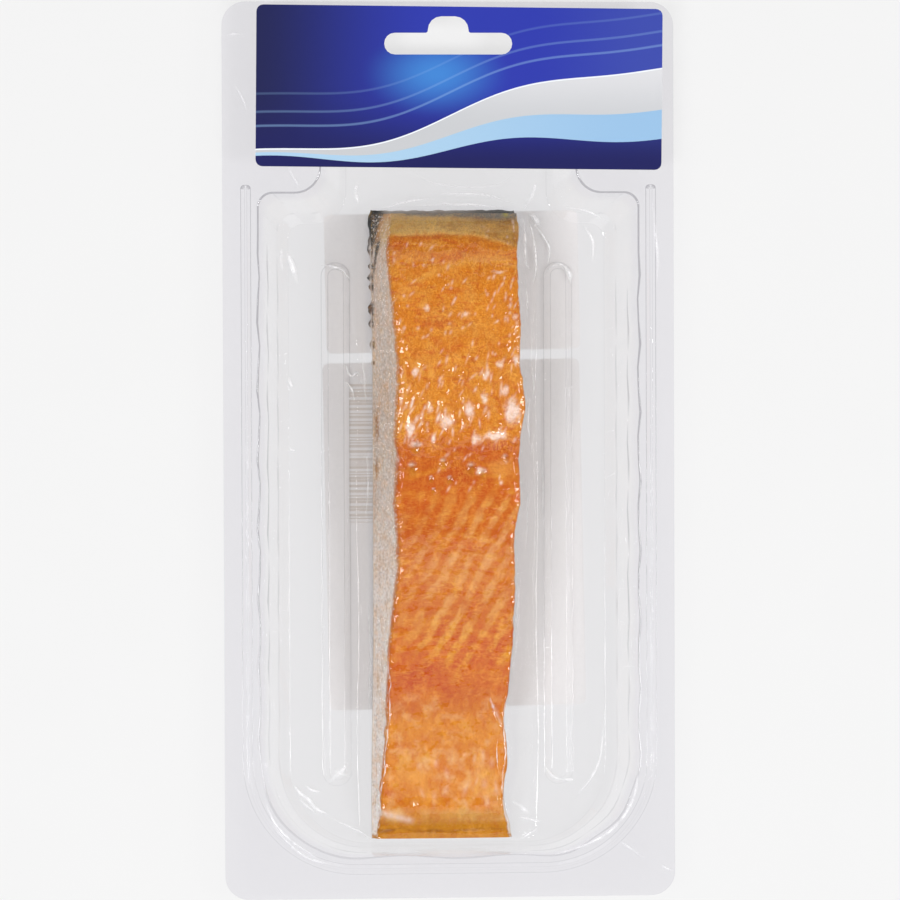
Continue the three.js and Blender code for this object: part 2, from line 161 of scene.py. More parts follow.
def smooth_curve(knots, values, places):
    """Values at the places, on a smooth curve through the values at the knots."""
    slopes = np.gradient(values, knots)
    index = np.clip(np.searchsorted(knots, places) - 1, 0, len(knots) - 2)
    span = knots[index + 1] - knots[index]
    share = np.clip((places - knots[index]) / span, 0, 1)
    square, cube = share ** 2, share ** 3
    return ((2 * cube - 3 * square + 1) * values[index]
            + (3 * square - 2 * cube) * values[index + 1]
            + (cube - 2 * square + share) * span * slopes[index]
            + (cube - square) * span * slopes[index + 1])


def stations(column, y):
    """One column of the fish's stations at the places y."""
    return smooth_curve(FISH_STATIONS[::-1, 0], FISH_STATIONS[::-1, column], y)


# Outlines

def rounded_loop(corners, arc_steps=16, edge_steps=1):
    """A counter-clockwise outline through corners given as x, y, radius."""
    loop = []
    count = len(corners)
    for index, (x, y, radius) in enumerate(corners):
        corner = np.array([x, y], float)
        before = np.array(corners[index - 1][:2], float) - corner
        after = np.array(corners[(index + 1) % count][:2], float) - corner
        before /= np.linalg.norm(before)
        after /= np.linalg.norm(after)
        half = math.acos(np.clip(before @ after, -1, 1)) / 2
        middle = (before + after) / np.linalg.norm(before + after)
        centre = corner + middle * radius / math.sin(half)
        start = corner + before * radius / math.tan(half) - centre
        end = corner + after * radius / math.tan(half) - centre
        turn = math.atan2(start[0] * end[1] - start[1] * end[0], start @ end)
        for step in range(arc_steps + 1):
            angle = turn * step / arc_steps
            cosine, sine = math.cos(angle), math.sin(angle)
            loop.append(centre + [start[0] * cosine - start[1] * sine,
                                  start[0] * sine + start[1] * cosine])
    return with_edge_steps(np.array(loop), arc_steps, edge_steps)


def with_edge_steps(loop, arc_steps, edge_steps):
    """Divides the straight runs between the arcs, so that they can wave."""
    points = []
    for index, point in enumerate(loop):
        points.append(point)
        if index % (arc_steps + 1) == arc_steps:
            following = loop[(index + 1) % len(loop)]
            points.extend(point + (following - point) * step / edge_steps
                          for step in range(1, edge_steps))
    return np.array(points)


def mirrored(right):
    """All corners of an outline, from those of its right half, which go from the bottom to the top."""
    left = [(-x, y, radius) for x, y, radius in reversed(right)]
    return [left[-1], *right, *left[:-1]]


def pack_outline():
    """The pack's outer edge."""
    x, y = PACK_WIDTH / 2, PACK_LENGTH / 2
    return rounded_loop(mirrored([(x, -y, PACK_CORNER), (x, y, PACK_CORNER)]), 10)


def slot_outline():
    """The hang hole: a slot with round ends and a dome over its middle."""
    x = SLOT_WIDTH / 2
    end = (SLOT_HIGH - SLOT_LOW) / 2 - 0.05
    return rounded_loop(mirrored([
        (x, SLOT_LOW, end), (x, SLOT_HIGH, end),
        (SLOT_DOME_HALF, SLOT_HIGH, SLOT_THROAT), (SLOT_DOME_HALF, SLOT_DOME_HIGH, SLOT_CROWN)]), 8)


def pocket_outline(ring, wave=0.0):
    """One ring of the pocket, with waves of the given size, in millimetres, along its walls."""
    _, side, lobe, neck, top, bottom, foot_r, lobe_r, throat_r, neck_r = ring
    loop = rounded_loop(mirrored([
        (side, bottom, foot_r), (side, lobe, lobe_r),
        (neck, lobe, throat_r), (neck, top, neck_r)]), 16, 24)
    outward = loop * [1, 0.4]
    outward /= np.linalg.norm(outward, axis=1, keepdims=True)
    along = loop[:, 0] * 0.62 + loop[:, 1]
    size = wave * ease(56, 40, loop[:, 1])
    return loop + outward * (size * np.sin(along * 2 * math.pi / POCKET_WAVE_PITCH))[:, None]


def pocket_profile():
    """Pocket rings with a flat margin above and below, and tight bends at the named rings."""
    first, last = POCKET_RINGS[0], POCKET_RINGS[-1]
    knots = [first + POCKET_OUTWARD * POCKET_MARGIN, *POCKET_RINGS, last - POCKET_OUTWARD * FLOOR_MARGIN]
    rings = [knots[0]]
    for before, knot, after in zip(knots, knots[1:], knots[2:]):
        start = knot + (before - knot) * min(0.8, POCKET_BEND / np.hypot(*(before - knot)[:2]))
        end = knot + (after - knot) * min(0.4, POCKET_BEND / np.hypot(*(after - knot)[:2]))
        for share in np.linspace(0, 1, 6):
            rings.append((1 - share) ** 2 * start + 2 * share * (1 - share) * knot + share ** 2 * end)
    return rings + [knots[-1]]


def bead_outline(inset):
    """The stiffening bead, a band open at the header, drawn in by the inset."""
    outer, inner, end = BEAD_OUTER - inset, BEAD_INNER + inset, BEAD_END - inset
    low, high = BEAD_FOOT_OUTER + inset, BEAD_FOOT_INNER - inset
    outer_r = BEAD_CORNER + BEAD_OUTER - BEAD_INNER - inset
    inner_r = BEAD_CORNER + inset
    tip = min(0.9, (1.3 - inset) * 0.9)
    return rounded_loop(mirrored([
        (outer, low, outer_r), (outer, end, tip), (inner, end, tip), (inner, high, inner_r)]), 20, 12)


def rib_outline(side, inset):
    """The floor's rib on one side, drawn in by the inset."""
    inner, outer = sorted((side * (RIB_INNER + inset), side * (RIB_OUTER - inset)))
    low, high = RIB_FOOT_END + inset, RIB_TOP_END - inset
    radius = (outer - inner) / 2 - 0.1
    return rounded_loop([(inner, low, radius), (outer, low, radius),
                         (outer, high, radius), (inner, high, radius)], 10, 12)


# Sheets

def inside(points, loop):
    """Which points lie inside an outline."""
    x, y = points[:, 0][:, None], points[:, 1][:, None]
    ax, ay = loop[:, 0], loop[:, 1]
    bx, by = np.roll(ax, -1), np.roll(ay, -1)
    spans = (ay > y) != (by > y)
    rise = np.where(by == ay, 1, by - ay)
    crossing = (bx - ax) * (y - ay) / rise + ax
    return (spans & (x < crossing)).sum(1) % 2 == 1


class Sheet:
    """An open surface put together from walls and level areas that share their borders."""

    def __init__(self):
        self.points = []
        self.faces = []
        self.places = {}

    def at(self, point):
        """The number of a point, which is the same for all that meet there."""
        place = tuple(round(float(value), 3) for value in point)
        if place not in self.places:
            self.places[place] = len(self.points)
            self.points.append(tuple(float(value) for value in point))
        return self.places[place]

    def face(self, corners):
        """A face through numbered points, left out where it has no area."""
        corners = [corner for index, corner in enumerate(corners) if corner != corners[index - 1]]
        if len(set(corners)) > 2:
            self.faces.append(corners)

    def wall(self, outer, inner):
        """Quads between two counter-clockwise loops of as many points."""
        outer = [self.at(point) for point in outer]
        inner = [self.at(point) for point in inner]
        for index in range(-1, len(outer) - 1):
            self.face([outer[index], outer[index + 1], inner[index + 1], inner[index]])

    def level(self, outline, holes, z):
        """Triangles that fill an outline around its holes."""
        loops = [outline, *holes]
        points = np.concatenate(loops)
        edges, start = [], 0
        for loop in loops:
            edges += [(start + k, start + (k + 1) % len(loop)) for k in range(len(loop))]
            start += len(loop)
        found = delaunay_2d_cdt([Vector(point) for point in points], edges, [], 0, 1e-5)
        source = np.array([origins[0] for origins in found[3]])
        faces = source[np.array(found[2])]
        middles = points[faces].mean(1)
        keep = inside(middles, outline)
        for hole in holes:
            keep &= ~inside(middles, hole)
        for a, b, c in faces[keep]:
            self.face([self.at((*points[k], z)) for k in (a, b, c)])

    def rim(self, outline, z, depth):
        """A border that hangs from an outline and shows the sheet's thickness."""
        self.wall(raised(outline, z - depth), raised(outline, z))

    def bends(self):
        """Marks the points inside tight bends, where narrow faces turn away from each other, for painted
        shade lines there.
        """
        points = np.array(self.points)
        sums, counts, narrow = np.zeros_like(points), np.zeros(len(points)), np.ones(len(points))
        for face in self.faces:
            corners = points[face]
            cross = np.cross(corners[1] - corners[0], corners[2] - corners[0])
            area = max(np.linalg.norm(cross), 1e-9)
            longest = np.linalg.norm(corners - np.roll(corners, 1, axis=0), axis=1).max()
            sums[face] += cross / area
            counts[face] += 1
            if area / longest > 0.3 or abs(cross[2]) > 0.9999 * area:
                narrow[face] = 0
        turned = np.clip((1 - np.linalg.norm(sums, axis=1) / counts - 0.0008) / 0.001, 0, 1)
        height = points[:, 2]
        levels = [height < FLANGE_TOP - 3, height < FLANGE_TOP + FILM_LIFT + 0.1]
        strength = np.select(levels, [0.35, 1], 0.3)
        return narrow * turned * strength * (1 - 0.6 * ease(-30, -75, points[:, 1]))


def raised(loop, z):
    """A flat outline at a height."""
    return np.column_stack([loop, np.full(len(loop), z)])


def feature(sheet, outline, steps, base):
    """A raised form whose outline draws in as it rises: steps are pairs of inset and height."""
    loops = [raised(outline(inset), base + height) for inset, height in steps]
    for outer, inner in zip(loops, loops[1:]):
        sheet.wall(outer, inner)
    inset, height = steps[-1]
    sheet.level(outline(inset), [], base + height)


def rising_steps(margin, run, height):
    """Insets and heights of a straight rise with tight bends, and a flat margin before it."""
    bend = 0.16
    turns = np.linspace(0, bend, 5)
    shares = [*turns, *(1 - turns[::-1])]
    slope = 1 / (1 - bend)
    heights = [*(slope * turns ** 2 / (2 * bend)), *(1 - slope * turns[::-1] ** 2 / (2 * bend))]
    return [(-margin, 0.0), *((run * share, height * level) for share, level in zip(shares, heights))]


def formed_sheet(lift, floor_hole=None):
    """The relief that the tray and the film share: flange, bead, pocket, floor and ribs."""
    sheet = Sheet()
    bead_steps = rising_steps(BEAD_MARGIN, BEAD_RUN, BEAD_HEIGHT)
    rib_steps = rising_steps(RIB_MARGIN, RIB_RUN, RIB_HEIGHT)
    rings = pocket_profile()
    waves = np.linspace(POCKET_WAVE, 0, len(rings)) ** 2
    loops = [raised(pocket_outline(ring, wave), ring[0] + lift) for ring, wave in zip(rings, waves)]
    holes = [slot_outline(), bead_outline(-BEAD_MARGIN), loops[0][:, :2]]
    sheet.level(pack_outline(), holes, FLANGE_TOP + lift)
    feature(sheet, bead_outline, bead_steps, FLANGE_TOP + lift)
    for outer, inner in zip(loops, loops[1:]):
        sheet.wall(outer, inner)
    ribs = [rib_outline(side, -RIB_MARGIN) for side in (-1, 1)]
    holes = ribs if floor_hole is None else [*ribs, floor_hole]
    sheet.level(loops[-1][:, :2], holes, BASE_TOP + lift)
    for side in (-1, 1):
        feature(sheet, lambda inset: rib_outline(side, inset), rib_steps, BASE_TOP + lift)
    return sheet


# Objects

# Edges over these angles, in degrees, are kept crisp
SHEET_SHARP = 50
FLESH_SHARP = 60


def make_object(name, points, faces, material, smooth=True, sharp_angle=None):
    """A mesh object from points in millimetres, with edges over the sharp angle kept crisp."""
    mesh = bpy.data.meshes.new(name)
    mesh.from_pydata([tuple(point) for point in np.array(points) * MM], [], [list(f) for f in faces])
    mesh.validate()
    mesh.polygons.foreach_set("use_smooth", [smooth] * len(mesh.polygons))
    if sharp_angle is not None:
        mesh.set_sharp_from_angle(angle=math.radians(sharp_angle))
    mesh.materials.append(material)
    made = bpy.data.objects.new(name, mesh)
    bpy.context.scene.collection.objects.link(made)
    return made


def paint(made, colours, name="tone"):
    """Stores one colour for each vertex."""
    layer = made.data.color_attributes.new(name, "FLOAT_COLOR", "POINT")
    values = np.ones((len(made.data.vertices), 4))
    values[:, :3] = colours
    layer.data.foreach_set("color", values.ravel())


def grid_faces(rows, columns):
    """Quads between points that stand in rows."""
    index = np.arange(rows * columns).reshape(rows, columns)
    corners = [index[1:, :-1], index[1:, 1:], index[:-1, 1:], index[:-1, :-1]]
    return np.stack(corners, -1).reshape(-1, 4)


# Fish shape

def base_left(y):
    """Where the cut side meets the skin, on the left."""
    end = ease(-40, -90, y) + ease(20, 50, y) * 0.5
    return -18.7 - 0.6 * end


def base_right(y):
    """The same on the right."""
    return stations(2, y) + 0.6


def fish_sections(places, low, counts, grow=0.0, ripple=0.0, bridge=0.0):
    """Sections of the portion, each from its left foot over the top to its right foot.

    Returns the points, the outward directions and each point's share of the way up its side, which
    is over 1 on the top face. grow moves the sides out, ripple makes the long edges uneven, and
    bridge raises the top over the groove.
    """
    side_count, corner_count, top_count = counts
    y = places[:, None]
    left = stations(1, y) - grow + ripple * rough(y, 3.0, 2.6, 11)
    right = stations(2, y) + grow + ripple * rough(y, 9.0, 2.6, 12)
    top = stations(3, y)
    top = top + bridge * bell(y, GROOVE_Y, 2.8)
    radius = np.minimum(EDGE_RADIUS, (top - low) * 0.4)
    climb = np.linspace(0, 1, side_count, endpoint=False)
    turn = np.linspace(0, math.pi / 2, corner_count)
    across = np.linspace(0, 1, top_count + 2)[1:-1]

    def half(foot, edge, sign):
        side = (foot + (edge - foot) * climb, low + (top - radius - low) * climb, sign, 0.12, climb)
        bend = (edge - sign * radius * (1 - np.cos(turn)), top - radius * (1 - np.sin(turn)),
                sign * np.cos(turn), np.sin(turn), 1)
        return np.concatenate([np.broadcast_arrays(*side), np.broadcast_arrays(*bend)], -1)

    inner_left, inner_right = left + radius, right - radius
    middle = (inner_left + (inner_right - inner_left) * across, top + 0.35 * (1 - (2 * across - 1) ** 2),
              0, 1, 1.5)
    left_half = half(base_left(y) - grow, left, -1)
    right_half = half(base_right(y) + grow, right, 1)[..., ::-1]
    parts = [left_half, np.broadcast_arrays(*middle), right_half]
    x, z, out_x, out_z, share = np.concatenate(parts, -1)
    return np.stack([x, y + 0 * x, z], -1), np.stack([out_x, 0 * x, out_z], -1), share


def flake_relief(x, y):
    """Height of the flesh's flakes and fibres over its smooth top face."""
    strands = fibres(x, y) * ease(6, -8, y) * ease(-66, -56, y)
    flakes = rough(x * 0.8 + y * 0.3, y * 1.3, 3.6, 23)
    clefts = -ease(0.86, 0.99, cleft_lines(x, y))
    lumps = swell(x, y, 7.5, 24)
    return 0.05 * strands + 0.14 * flakes + 0.1 * lumps + 0.12 * clefts * ease(-6, 2, y)


def cleft_lines(x, y):
    """1 along the clefts between the flakes of the upper half."""
    return ridged(x * 0.55 + y * 0.2, y * 1.5, 3.4, 25)


def fibres(x, y):
    """Fine fibres that cross the portion, bowed and uneven, from -1 to 1."""
    bow = 1.4 * swell(x, y, 9, 21) + 0.22 * np.abs(x)
    return np.clip(1.7 * rough(x * 0.16, y + bow, 0.9, 22, 2), -1, 1)


def spot_relief(x, y, spots):
    """Soft bumps, given as place, half width, half length, height and turn from the Y axis."""
    total = np.zeros(np.broadcast(x, y).shape)
    for spot_x, spot_y, half_x, half_y, height, turn in spots:
        cosine, sine = math.cos(turn), math.sin(turn)
        across = ((x - spot_x) * cosine - (y - spot_y) * sine) / half_x
        along = ((x - spot_x) * sine + (y - spot_y) * cosine) / half_y
        total += height * np.exp(-across ** 2 - along ** 2)
    return total


def scattered(boxes, first_seed):
    """Seeded bumps around the sizes given for each box.

    A box is its x and y ranges, how many bumps it has, and their half width, half length, height
    and turn. Each box has its own seed, and the seeds follow each other.
    """
    bumps = []
    for seed, (box, count, half_x, half_y, height, turn) in enumerate(boxes, first_seed):
        draw = np.random.default_rng(seed)
        x0, x1, y0, y1 = box
        bumps += [(draw.uniform(x0, x1), draw.uniform(y0, y1), half_x * draw.uniform(0.7, 1.4),
                   half_y * draw.uniform(0.6, 1.5), height * draw.uniform(0.7, 1.3),
                   turn + draw.normal(0, 0.25)) for _ in range(count)]
    return bumps


# Where the film stands off in small ridges that catch the light
FILM_RIDGES = scattered([
    ((-14, 16, 2, 14), 74, 0.4, 1.3, 0.13, 0.2),
    ((-14, 16, 13, 24), 44, 0.36, 1.0, 0.12, 0.2),
    ((9, 16.5, 24, 43), 50, 0.34, 0.8, 0.13, 0.3),
    ((-15, 9, 24, 52), 50, 0.34, 0.8, 0.12, 0.4),
    ((-15, -11, 18, 44), 24, 0.3, 0.9, 0.12, -0.1),
    ((11, 15.5, -50, 0), 24, 0.34, 1.0, 0.11, 0.5),
    ((-17, 13, -90, -78), 16, 0.4, 1.3, 0.06, 0.0),
    ((-15, 15, -12, 2), 20, 0.36, 0.8, 0.12, 0.2),
], 1)
# The largest glints: blisters whose flanks lean towards the side lights
FILM_FACETS = [
    (13.2, 10.0, 1.6, 2.8, 0.3, 0.0), (10.2, 4.4, 1.7, 1.4, 0.3, 0.0), (5.1, 4.0, 1.1, 1.2, 0.22, 0.0),
    (-11.2, 6.6, 1.1, 2.0, 0.22, 0.1), (-1.8, 8.5, 1.4, 1.7, 0.28, 0.0), (3.4, 10.8, 1.1, 1.8, 0.22, 0.2),
    (10.4, -66.5, 0.55, 3.9, 0.3, -0.42), (-9.0, -88.6, 0.7, 1.0, 0.3, 0.0),
    (11.2, -87.5, 1.4, 0.9, 0.3, 0.0),
]
# The pits along the groove: place and radius
PITS = [
    (-10.6, -3.6, 1.2), (-2.9, -2.4, 1.0), (-5.9, -6.3, 0.6), (4.0, -3.6, 1.1), (6.8, -4.9, 0.9),
    (-5.3, -9.2, 0.5), (-1.3, -6.5, 0.8), (-9.8, 1.6, 1.1), (12.4, -1.3, 0.8),
]


def pit_relief(x, y):
    """Small hollows with raised rims, along the groove."""
    total = np.zeros(np.broadcast(x, y).shape)
    for pit_x, pit_y, radius in PITS:
        away = np.hypot(x - pit_x, (y - pit_y) * 0.8) / radius
        total += 0.16 * bell(away, 1.2, 0.35) - 0.35 * bell(away, 0, 0.8)
    return total


def back_line(x, y):
    """How far a point lies behind the line where the back end's pale band starts."""
    return y - 53.8 + 0.5 * ease(-8, -17, x) + 3.6 * ease(3, 18, x)


def end_relief(x, y):
    """The step to the back end's band and the creases of the belly end."""
    back = 0.3 * bell(back_line(x, y), 0, 0.5)
    belly = 0.35 * bell(y + 95.6 + 0.3 * np.sin(x / 4), 0, 0.35)
    return -back - belly


def make_flesh():
    """The flesh as one closed mesh: its sections, a flat end at both ends and a flat foot."""
    share = np.linspace(0, 1, 500)
    places = FISH_BACK + (FISH_BELLY - FISH_BACK) * (share - 0.01 * np.sin(2 * math.pi * share))
    points, out, climb = fish_sections(places, FLESH_LOW, (24, 8, 122), ripple=0.22)
    x, y, z = points[..., 0], points[..., 1], points[..., 2]
    on_top = ease(0.9, 1.2, climb)
    ends = ease(FISH_BACK, FISH_BACK - 1.2, y) * ease(FISH_BELLY, FISH_BELLY + 1.2, y)
    top = (flake_relief(x, y) + pit_relief(x, y) + end_relief(x, y)) * ends
    side = (0.28 * rough(z, y, 3.2, 31) + 0.12 * rough(z, y * 0.4, 1.2, 35) - 0.12) * ends
    points = points + out * (on_top * top + (1 - on_top) * side * ease(0, 0.05, climb))[..., None]
    rows, columns = points.shape[:2]
    faces = [list(face) for face in grid_faces(rows, columns)]
    last = (rows - 1) * columns
    faces.append(list(range(columns - 1, -1, -1)))
    faces.append([last + k for k in range(columns)])
    faces += [[k, k + columns - 1, k + 2 * columns - 1, k + columns] for k in range(0, last, columns)]
    made = make_object("flesh", points.reshape(-1, 3), faces, flesh_material(), sharp_angle=FLESH_SHARP)
    paint(made, flesh_tones(points, climb).reshape(-1, 3))
    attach(made, "root")
    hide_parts("fillet_flesh")


# Fish colours, in linear light

def srgb(red, green, blue):
    """A colour of 0 to 255 in linear light."""
    values = np.array([red, green, blue]) / 255
    return np.where(values <= 0.04045, values / 12.92, ((values + 0.055) / 1.055) ** 2.4)


def under_film(red, green, blue):
    """The base colour that looks like this through the film, which adds a little white."""
    return np.maximum(srgb(red, green, blue) - 0.04, 0.002) / 1.12


ORANGE = under_film(218, 131, 20)
YELLOW = under_film(226, 138, 8)
RED = under_film(204, 94, 12)
PALE = under_film(235, 171, 92)
# Whitish tone: partly albumin on the flesh, partly painted highlights and glints of the film
MILKY_GLINT = under_film(250, 229, 220)
STRIPE = under_film(230, 176, 122)
TAN = under_film(214, 174, 108)
BROWN = under_film(164, 108, 50)
AMBER = under_film(198, 134, 0)
OLIVE = under_film(176, 170, 30)
SIDE = under_film(220, 209, 200)
SIDE_PALE = under_film(250, 243, 238)
SIDE_BROWN = under_film(168, 128, 94)
SHADE = under_film(120, 44, 14)
DARK = under_film(44, 40, 32)
GREY = under_film(126, 120, 108)

# What the lower half leaves out of red, green and blue, and the tint of the whole top face
LOWER_HALF_DIMMING = (0.08, 0.12, 0.42)
TOP_TINT = (0.945, 0.985, 1)
# Bands along the top face where blue is weak, as their middle and reach, and how weak it is
WARM_BANDS = [(-5, 9), (-54, 14)]
WARM_DIMMING = (0, 0.03, 0.85)
# Zones along the top face: middle, reach, colour and strength
ZONES = [
    (-1, 4, RED, 0.3), (-10, 5, RED, 0.4), (-30, 7, PALE, 0.22), (-50, 7, RED, 0.55),
    (-58, 6, RED, 0.3), (-69, 5, PALE, 0.22), (22, 16, PALE, 0.14),
]
# Patches of colour on the top face: place, half width, half length and strength
YELLOW_PATCHES = [
    (9.5, 41, 3.4, 2.6, 1.0), (10.5, 38, 3, 3, 0.9), (6.5, 34.6, 4, 2.4, 1.0), (9.8, 31.6, 4, 2, 0.7),
    (-3.4, 15, 2, 4, 0.9), (-6, 6, 4, 2, 0.6), (4, 6, 4, 3, 0.5), (-10.6, -12, 4.5, 2.4, 1.0),
    (-8, -17.2, 5, 1.3, 0.8), (-0.7, -20.5, 3.2, 1.4, 1.0), (1.6, -15, 2.2, 1.6, 0.7),
    (5.6, -22.3, 4, 1.8, 0.9), (3.5, -25.4, 2.4, 1.1, 0.9), (10.6, -24, 1.7, 1.1, 0.9),
    (9, -15, 2, 1.4, 0.8), (-2, -56, 4, 2, 0.6), (-9, -61, 4, 2, 0.5),
]
RED_PATCHES = [
    (-13.5, 51.4, 2.6, 1.6, 0.7), (-6.3, 53, 4, 0.8, 0.6), (-1.0, 48.3, 4.4, 1.0, 0.6),
    (5, 50.6, 4, 1.6, 0.4), (-5, 31.6, 3.8, 1.1, 0.7), (-9.8, 41.4, 2.6, 0.6, 0.6),
    (0, 40, 3.4, 0.6, 0.6), (2.2, 0.6, 4.6, 1.1, 0.9), (9, 0.8, 3.4, 1.3, 0.7),
    (-11, -1.2, 3.8, 1.2, 0.8), (10, -2, 2, 1.8, 0.7), (-3, -5.4, 5, 2.4, 0.6),
    (-12, -6.6, 2.4, 2, 0.6), (-7.2, -55.3, 4.2, 2.4, 0.9), (-11.4, -57.6, 2.2, 1.6, 0.8),
    (-1.8, -58.3, 3, 1.6, 0.9), (12.4, -48.4, 1.5, 3, 0.7), (8, -44, 1.8, 2.6, 0.6),
    (4.6, -49, 2, 2.2, 0.6), (-15.6, -85.4, 1.3, 1.3, 0.7), (7.8, -66, 1.2, 3, 0.5),
]
PALE_PATCHES = [
    (-8, 36, 1.1, 1.0, 0.8), (3.1, 33.9, 1, 1.1, 0.8), (-1.1, 31, 0.9, 0.9, 0.7),
    (3.8, 26.2, 1, 0.9, 0.7), (-12, 38.4, 1.3, 1.2, 0.6), (0.1, 23.6, 1, 0.9, 0.6),
    (-4, 33.2, 0.7, 0.7, 0.6), (-12.5, 18.8, 0.6, 2.4, 0.8), (-8.9, 22.4, 0.6, 1.7, 0.7),
    (-9.8, 20, 0.8, 1.2, 0.8), (-5.8, 19.2, 0.9, 1.2, 0.7), (-3.4, 12, 0.8, 1.8, 0.8),
    (-1.5, 10, 1, 1.8, 0.8), (-12, 15, 0.6, 2, 0.7), (-9, 12.8, 0.6, 1.6, 0.7),
    (7.6, 19.5, 0.9, 1.3, 0.8), (10.8, 21.6, 0.9, 1, 0.7), (15.4, 22.4, 0.8, 1.3, 0.8),
    (7.4, 13, 0.9, 1.6, 0.9), (9.2, 11.2, 0.8, 1.4, 0.7), (11.5, -4.2, 3, 2.4, 0.7),
    (-3.5, -67, 1, 1.2, 0.6), (-9.2, -81, 3.8, 2.6, 0.6), (6.4, -82, 3.4, 2.8, 0.5),
    (-6.5, -85.6, 3, 2.4, 0.5),
]
# Whitish patches: partly albumin, partly painted highlights where the film catches the lights
MILKY_AND_GLINT_PATCHES = [
    (14.0, 10.0, 1.6, 2.7, 1), (3.4, 10.4, 1.0, 1.8, 0.8), (-11.1, 5.9, 1.0, 1.8, 1),
    (-2.2, 7.7, 1.5, 1.4, 0.8), (10, 4, 2.5, 0.9, 1), (5.1, 3.3, 1.0, 1.1, 0.9),
    (-9.9, 2.0, 1.4, 0.6, 0.7), (6.6, -4.6, 1.1, 0.8, 0.8), (14.9, 22.4, 0.7, 1.3, 0.8),
    (7.7, 19.2, 0.7, 1.0, 0.8), (7.1, 13.4, 0.7, 1.3, 0.8), (-9.8, 20.2, 0.7, 1, 0.7),
    (2.8, 34, 0.6, 0.7, 0.6), (-7.4, 35.8, 0.6, 0.6, 0.6), (10.9, 21.7, 0.8, 0.8, 0.7),
    (14.9, 33.3, 0.6, 0.8, 0.6), (12.4, 15.2, 0.6, 1.1, 0.6), (-6.2, 11.4, 0.6, 1.3, 0.6),
    (11.2, 44.6, 1.5, 0.4, 0.5),
]
# Painted glints: thin white dashes set lengthwise, in boxes of the top face
PAINTED_GLINT_DASHES = scattered([
    ((-14, 16, 2.5, 13), 54, 0.26, 0.9, 0.6, 0.25),
    ((-14, 16, 13, 25), 40, 0.24, 0.8, 0.42, 0.25),
    ((8, 16, 24, 44), 34, 0.24, 0.5, 0.55, 0.3),
    ((-15, 8, 25, 52), 44, 0.24, 0.5, 0.45, 0.5),
    ((-15, 14, -10, 1), 16, 0.25, 0.5, 0.5, 0.3),
    ((-16, 12, -89, -74), 16, 0.5, 1.2, 0.22, 0.1),
], 201)


def blend(tones, *layers):
    """Tones with colours laid over them in turn, each given with its strength at every point."""
    for colour, strength in layers:
        strength = np.clip(strength, 0, 1)[..., None]
        tones = tones * (1 - strength) + colour * strength
    return tones


def all_over(colour, like):
    """One colour for every point."""
    return np.broadcast_to(colour, (*like.shape, 3))


def patches(x, y, places):
    """Strength at each point of patches with uneven borders."""
    x = x + 0.7 * rough(x, y, 1.3, 131)
    y = y + 0.6 * rough(x, y, 1.2, 135)
    left = np.ones(np.broadcast(x, y).shape)
    for patch_x, patch_y, half_x, half_y, strength in places:
        away = ((x - patch_x) / half_x) ** 2 + ((y - patch_y) / half_y) ** 2
        left = left * (1 - strength * np.exp(-away ** 1.5))
    return 1 - left


def top_tones(x, y):
    """Colours of the top face from the back end to the belly end."""
    lower_half = ease(5, 1, y) * ease(-72, -62, y)
    mottle = 0.95 * rough(x, y * 0.75, 3.2, 49, 4) + 0.02
    towards_belly = 0.55 + 0.45 * ease(-60, -76, y)
    sheen_arc_line = y - 46.8 + 0.02 * (x - 4) ** 2 - 0.12 * x
    clefts = ease(0.88, 0.99, cleft_lines(x, y))
    veins = ease(0.93, 0.995, ridged(x * 0.9, y * 0.7, 2.6, 57))
    tones = blend(
        all_over(ORANGE, x),
        (YELLOW, 0.35 + 0.7 * rough(x, y, 6, 41)),
        (RED, 0.6 * rough(x * 0.8, y * 1.5, 5, 45) - 0.14),
        (PALE, mottle * towards_belly * (1 - 0.5 * lower_half)),
        # A pale arc near the back end: a painted soft reflection on the film
        (PALE, 0.5 * bell(sheen_arc_line, 0, 1.1)),
        (RED, 0.6 * clefts * ease(-6, 2, y)),
        (PALE, 0.5 * veins * ease(0, 6, y)),
        (YELLOW, 0.8 * patches(x, y, YELLOW_PATCHES)),
        (RED, 0.85 * patches(x, y, RED_PATCHES)),
        (RED, (0.34 + 0.45 * rough(x, y, 7, 47)) * lower_half),
    )
    tones = tones * (1 - lower_half[..., None] * LOWER_HALF_DIMMING) * TOP_TINT
    for middle, reach, colour, strength in ZONES:
        tones = blend(tones, (colour, strength * bell(y, middle, reach)))
    tones = blend(
        stripe_tones(tones, x, y),
        (STRIPE, 0.9 * rough(x, y, 2.2, 171, 4) * ease(-56, -66, y)),
        (PALE, 0.8 * patches(x, y, PALE_PATCHES)),
        # Painted highlights: the whitish patches, partly albumin, and the glint dashes
        (MILKY_GLINT, 1.25 * patches(x, y, MILKY_AND_GLINT_PATCHES)),
        (MILKY_GLINT, spot_relief(x, y, PAINTED_GLINT_DASHES)),
    )
    return end_tones(pit_tones(tones, x, y), x, y)


def stripe_tones(tones, x, y):
    """The slanting stripes of the lower half, and the fine fibres that cross them."""
    slant = x * math.sin(STRIPE_TURN) - y * math.cos(STRIPE_TURN)
    wander = 1.1 * swell(x, y, 9, 51) + 0.6 * rough(x, y, 2.4, 52)
    stripes = np.sin((slant + wander) * 2 * math.pi / STRIPE_PITCH)
    there = ease(-5, -14, y) * ease(-60, -46, y) * (0.45 + 0.55 * ease(-13, -2, x))
    strands = fibres(x, y) * ease(-66, -56, y)
    uneven = np.clip(0.6 + 1.1 * rough(x, y, 4.5, 139), 0, 1)
    broken = 0.65 + 0.8 * rough(x * 1.2, y, 3.4, 53, 4) + 0.3 * strands * uneven
    crossing = 0.3 * strands * uneven * ease(4, -8, y)
    tones = blend(
        tones,
        (STRIPE, 0.6 * there * broken * ease(-0.6, 0.8, stripes)),
        (RED, 0.34 * there * (1.2 - 0.7 * broken) * ease(0, -0.9, stripes)),
        (PALE, crossing),
        (RED, -crossing),
    )
    for middle, reach in WARM_BANDS:
        tones = tones * (1 - bell(y, middle, reach)[..., None] * WARM_DIMMING)
    return tones


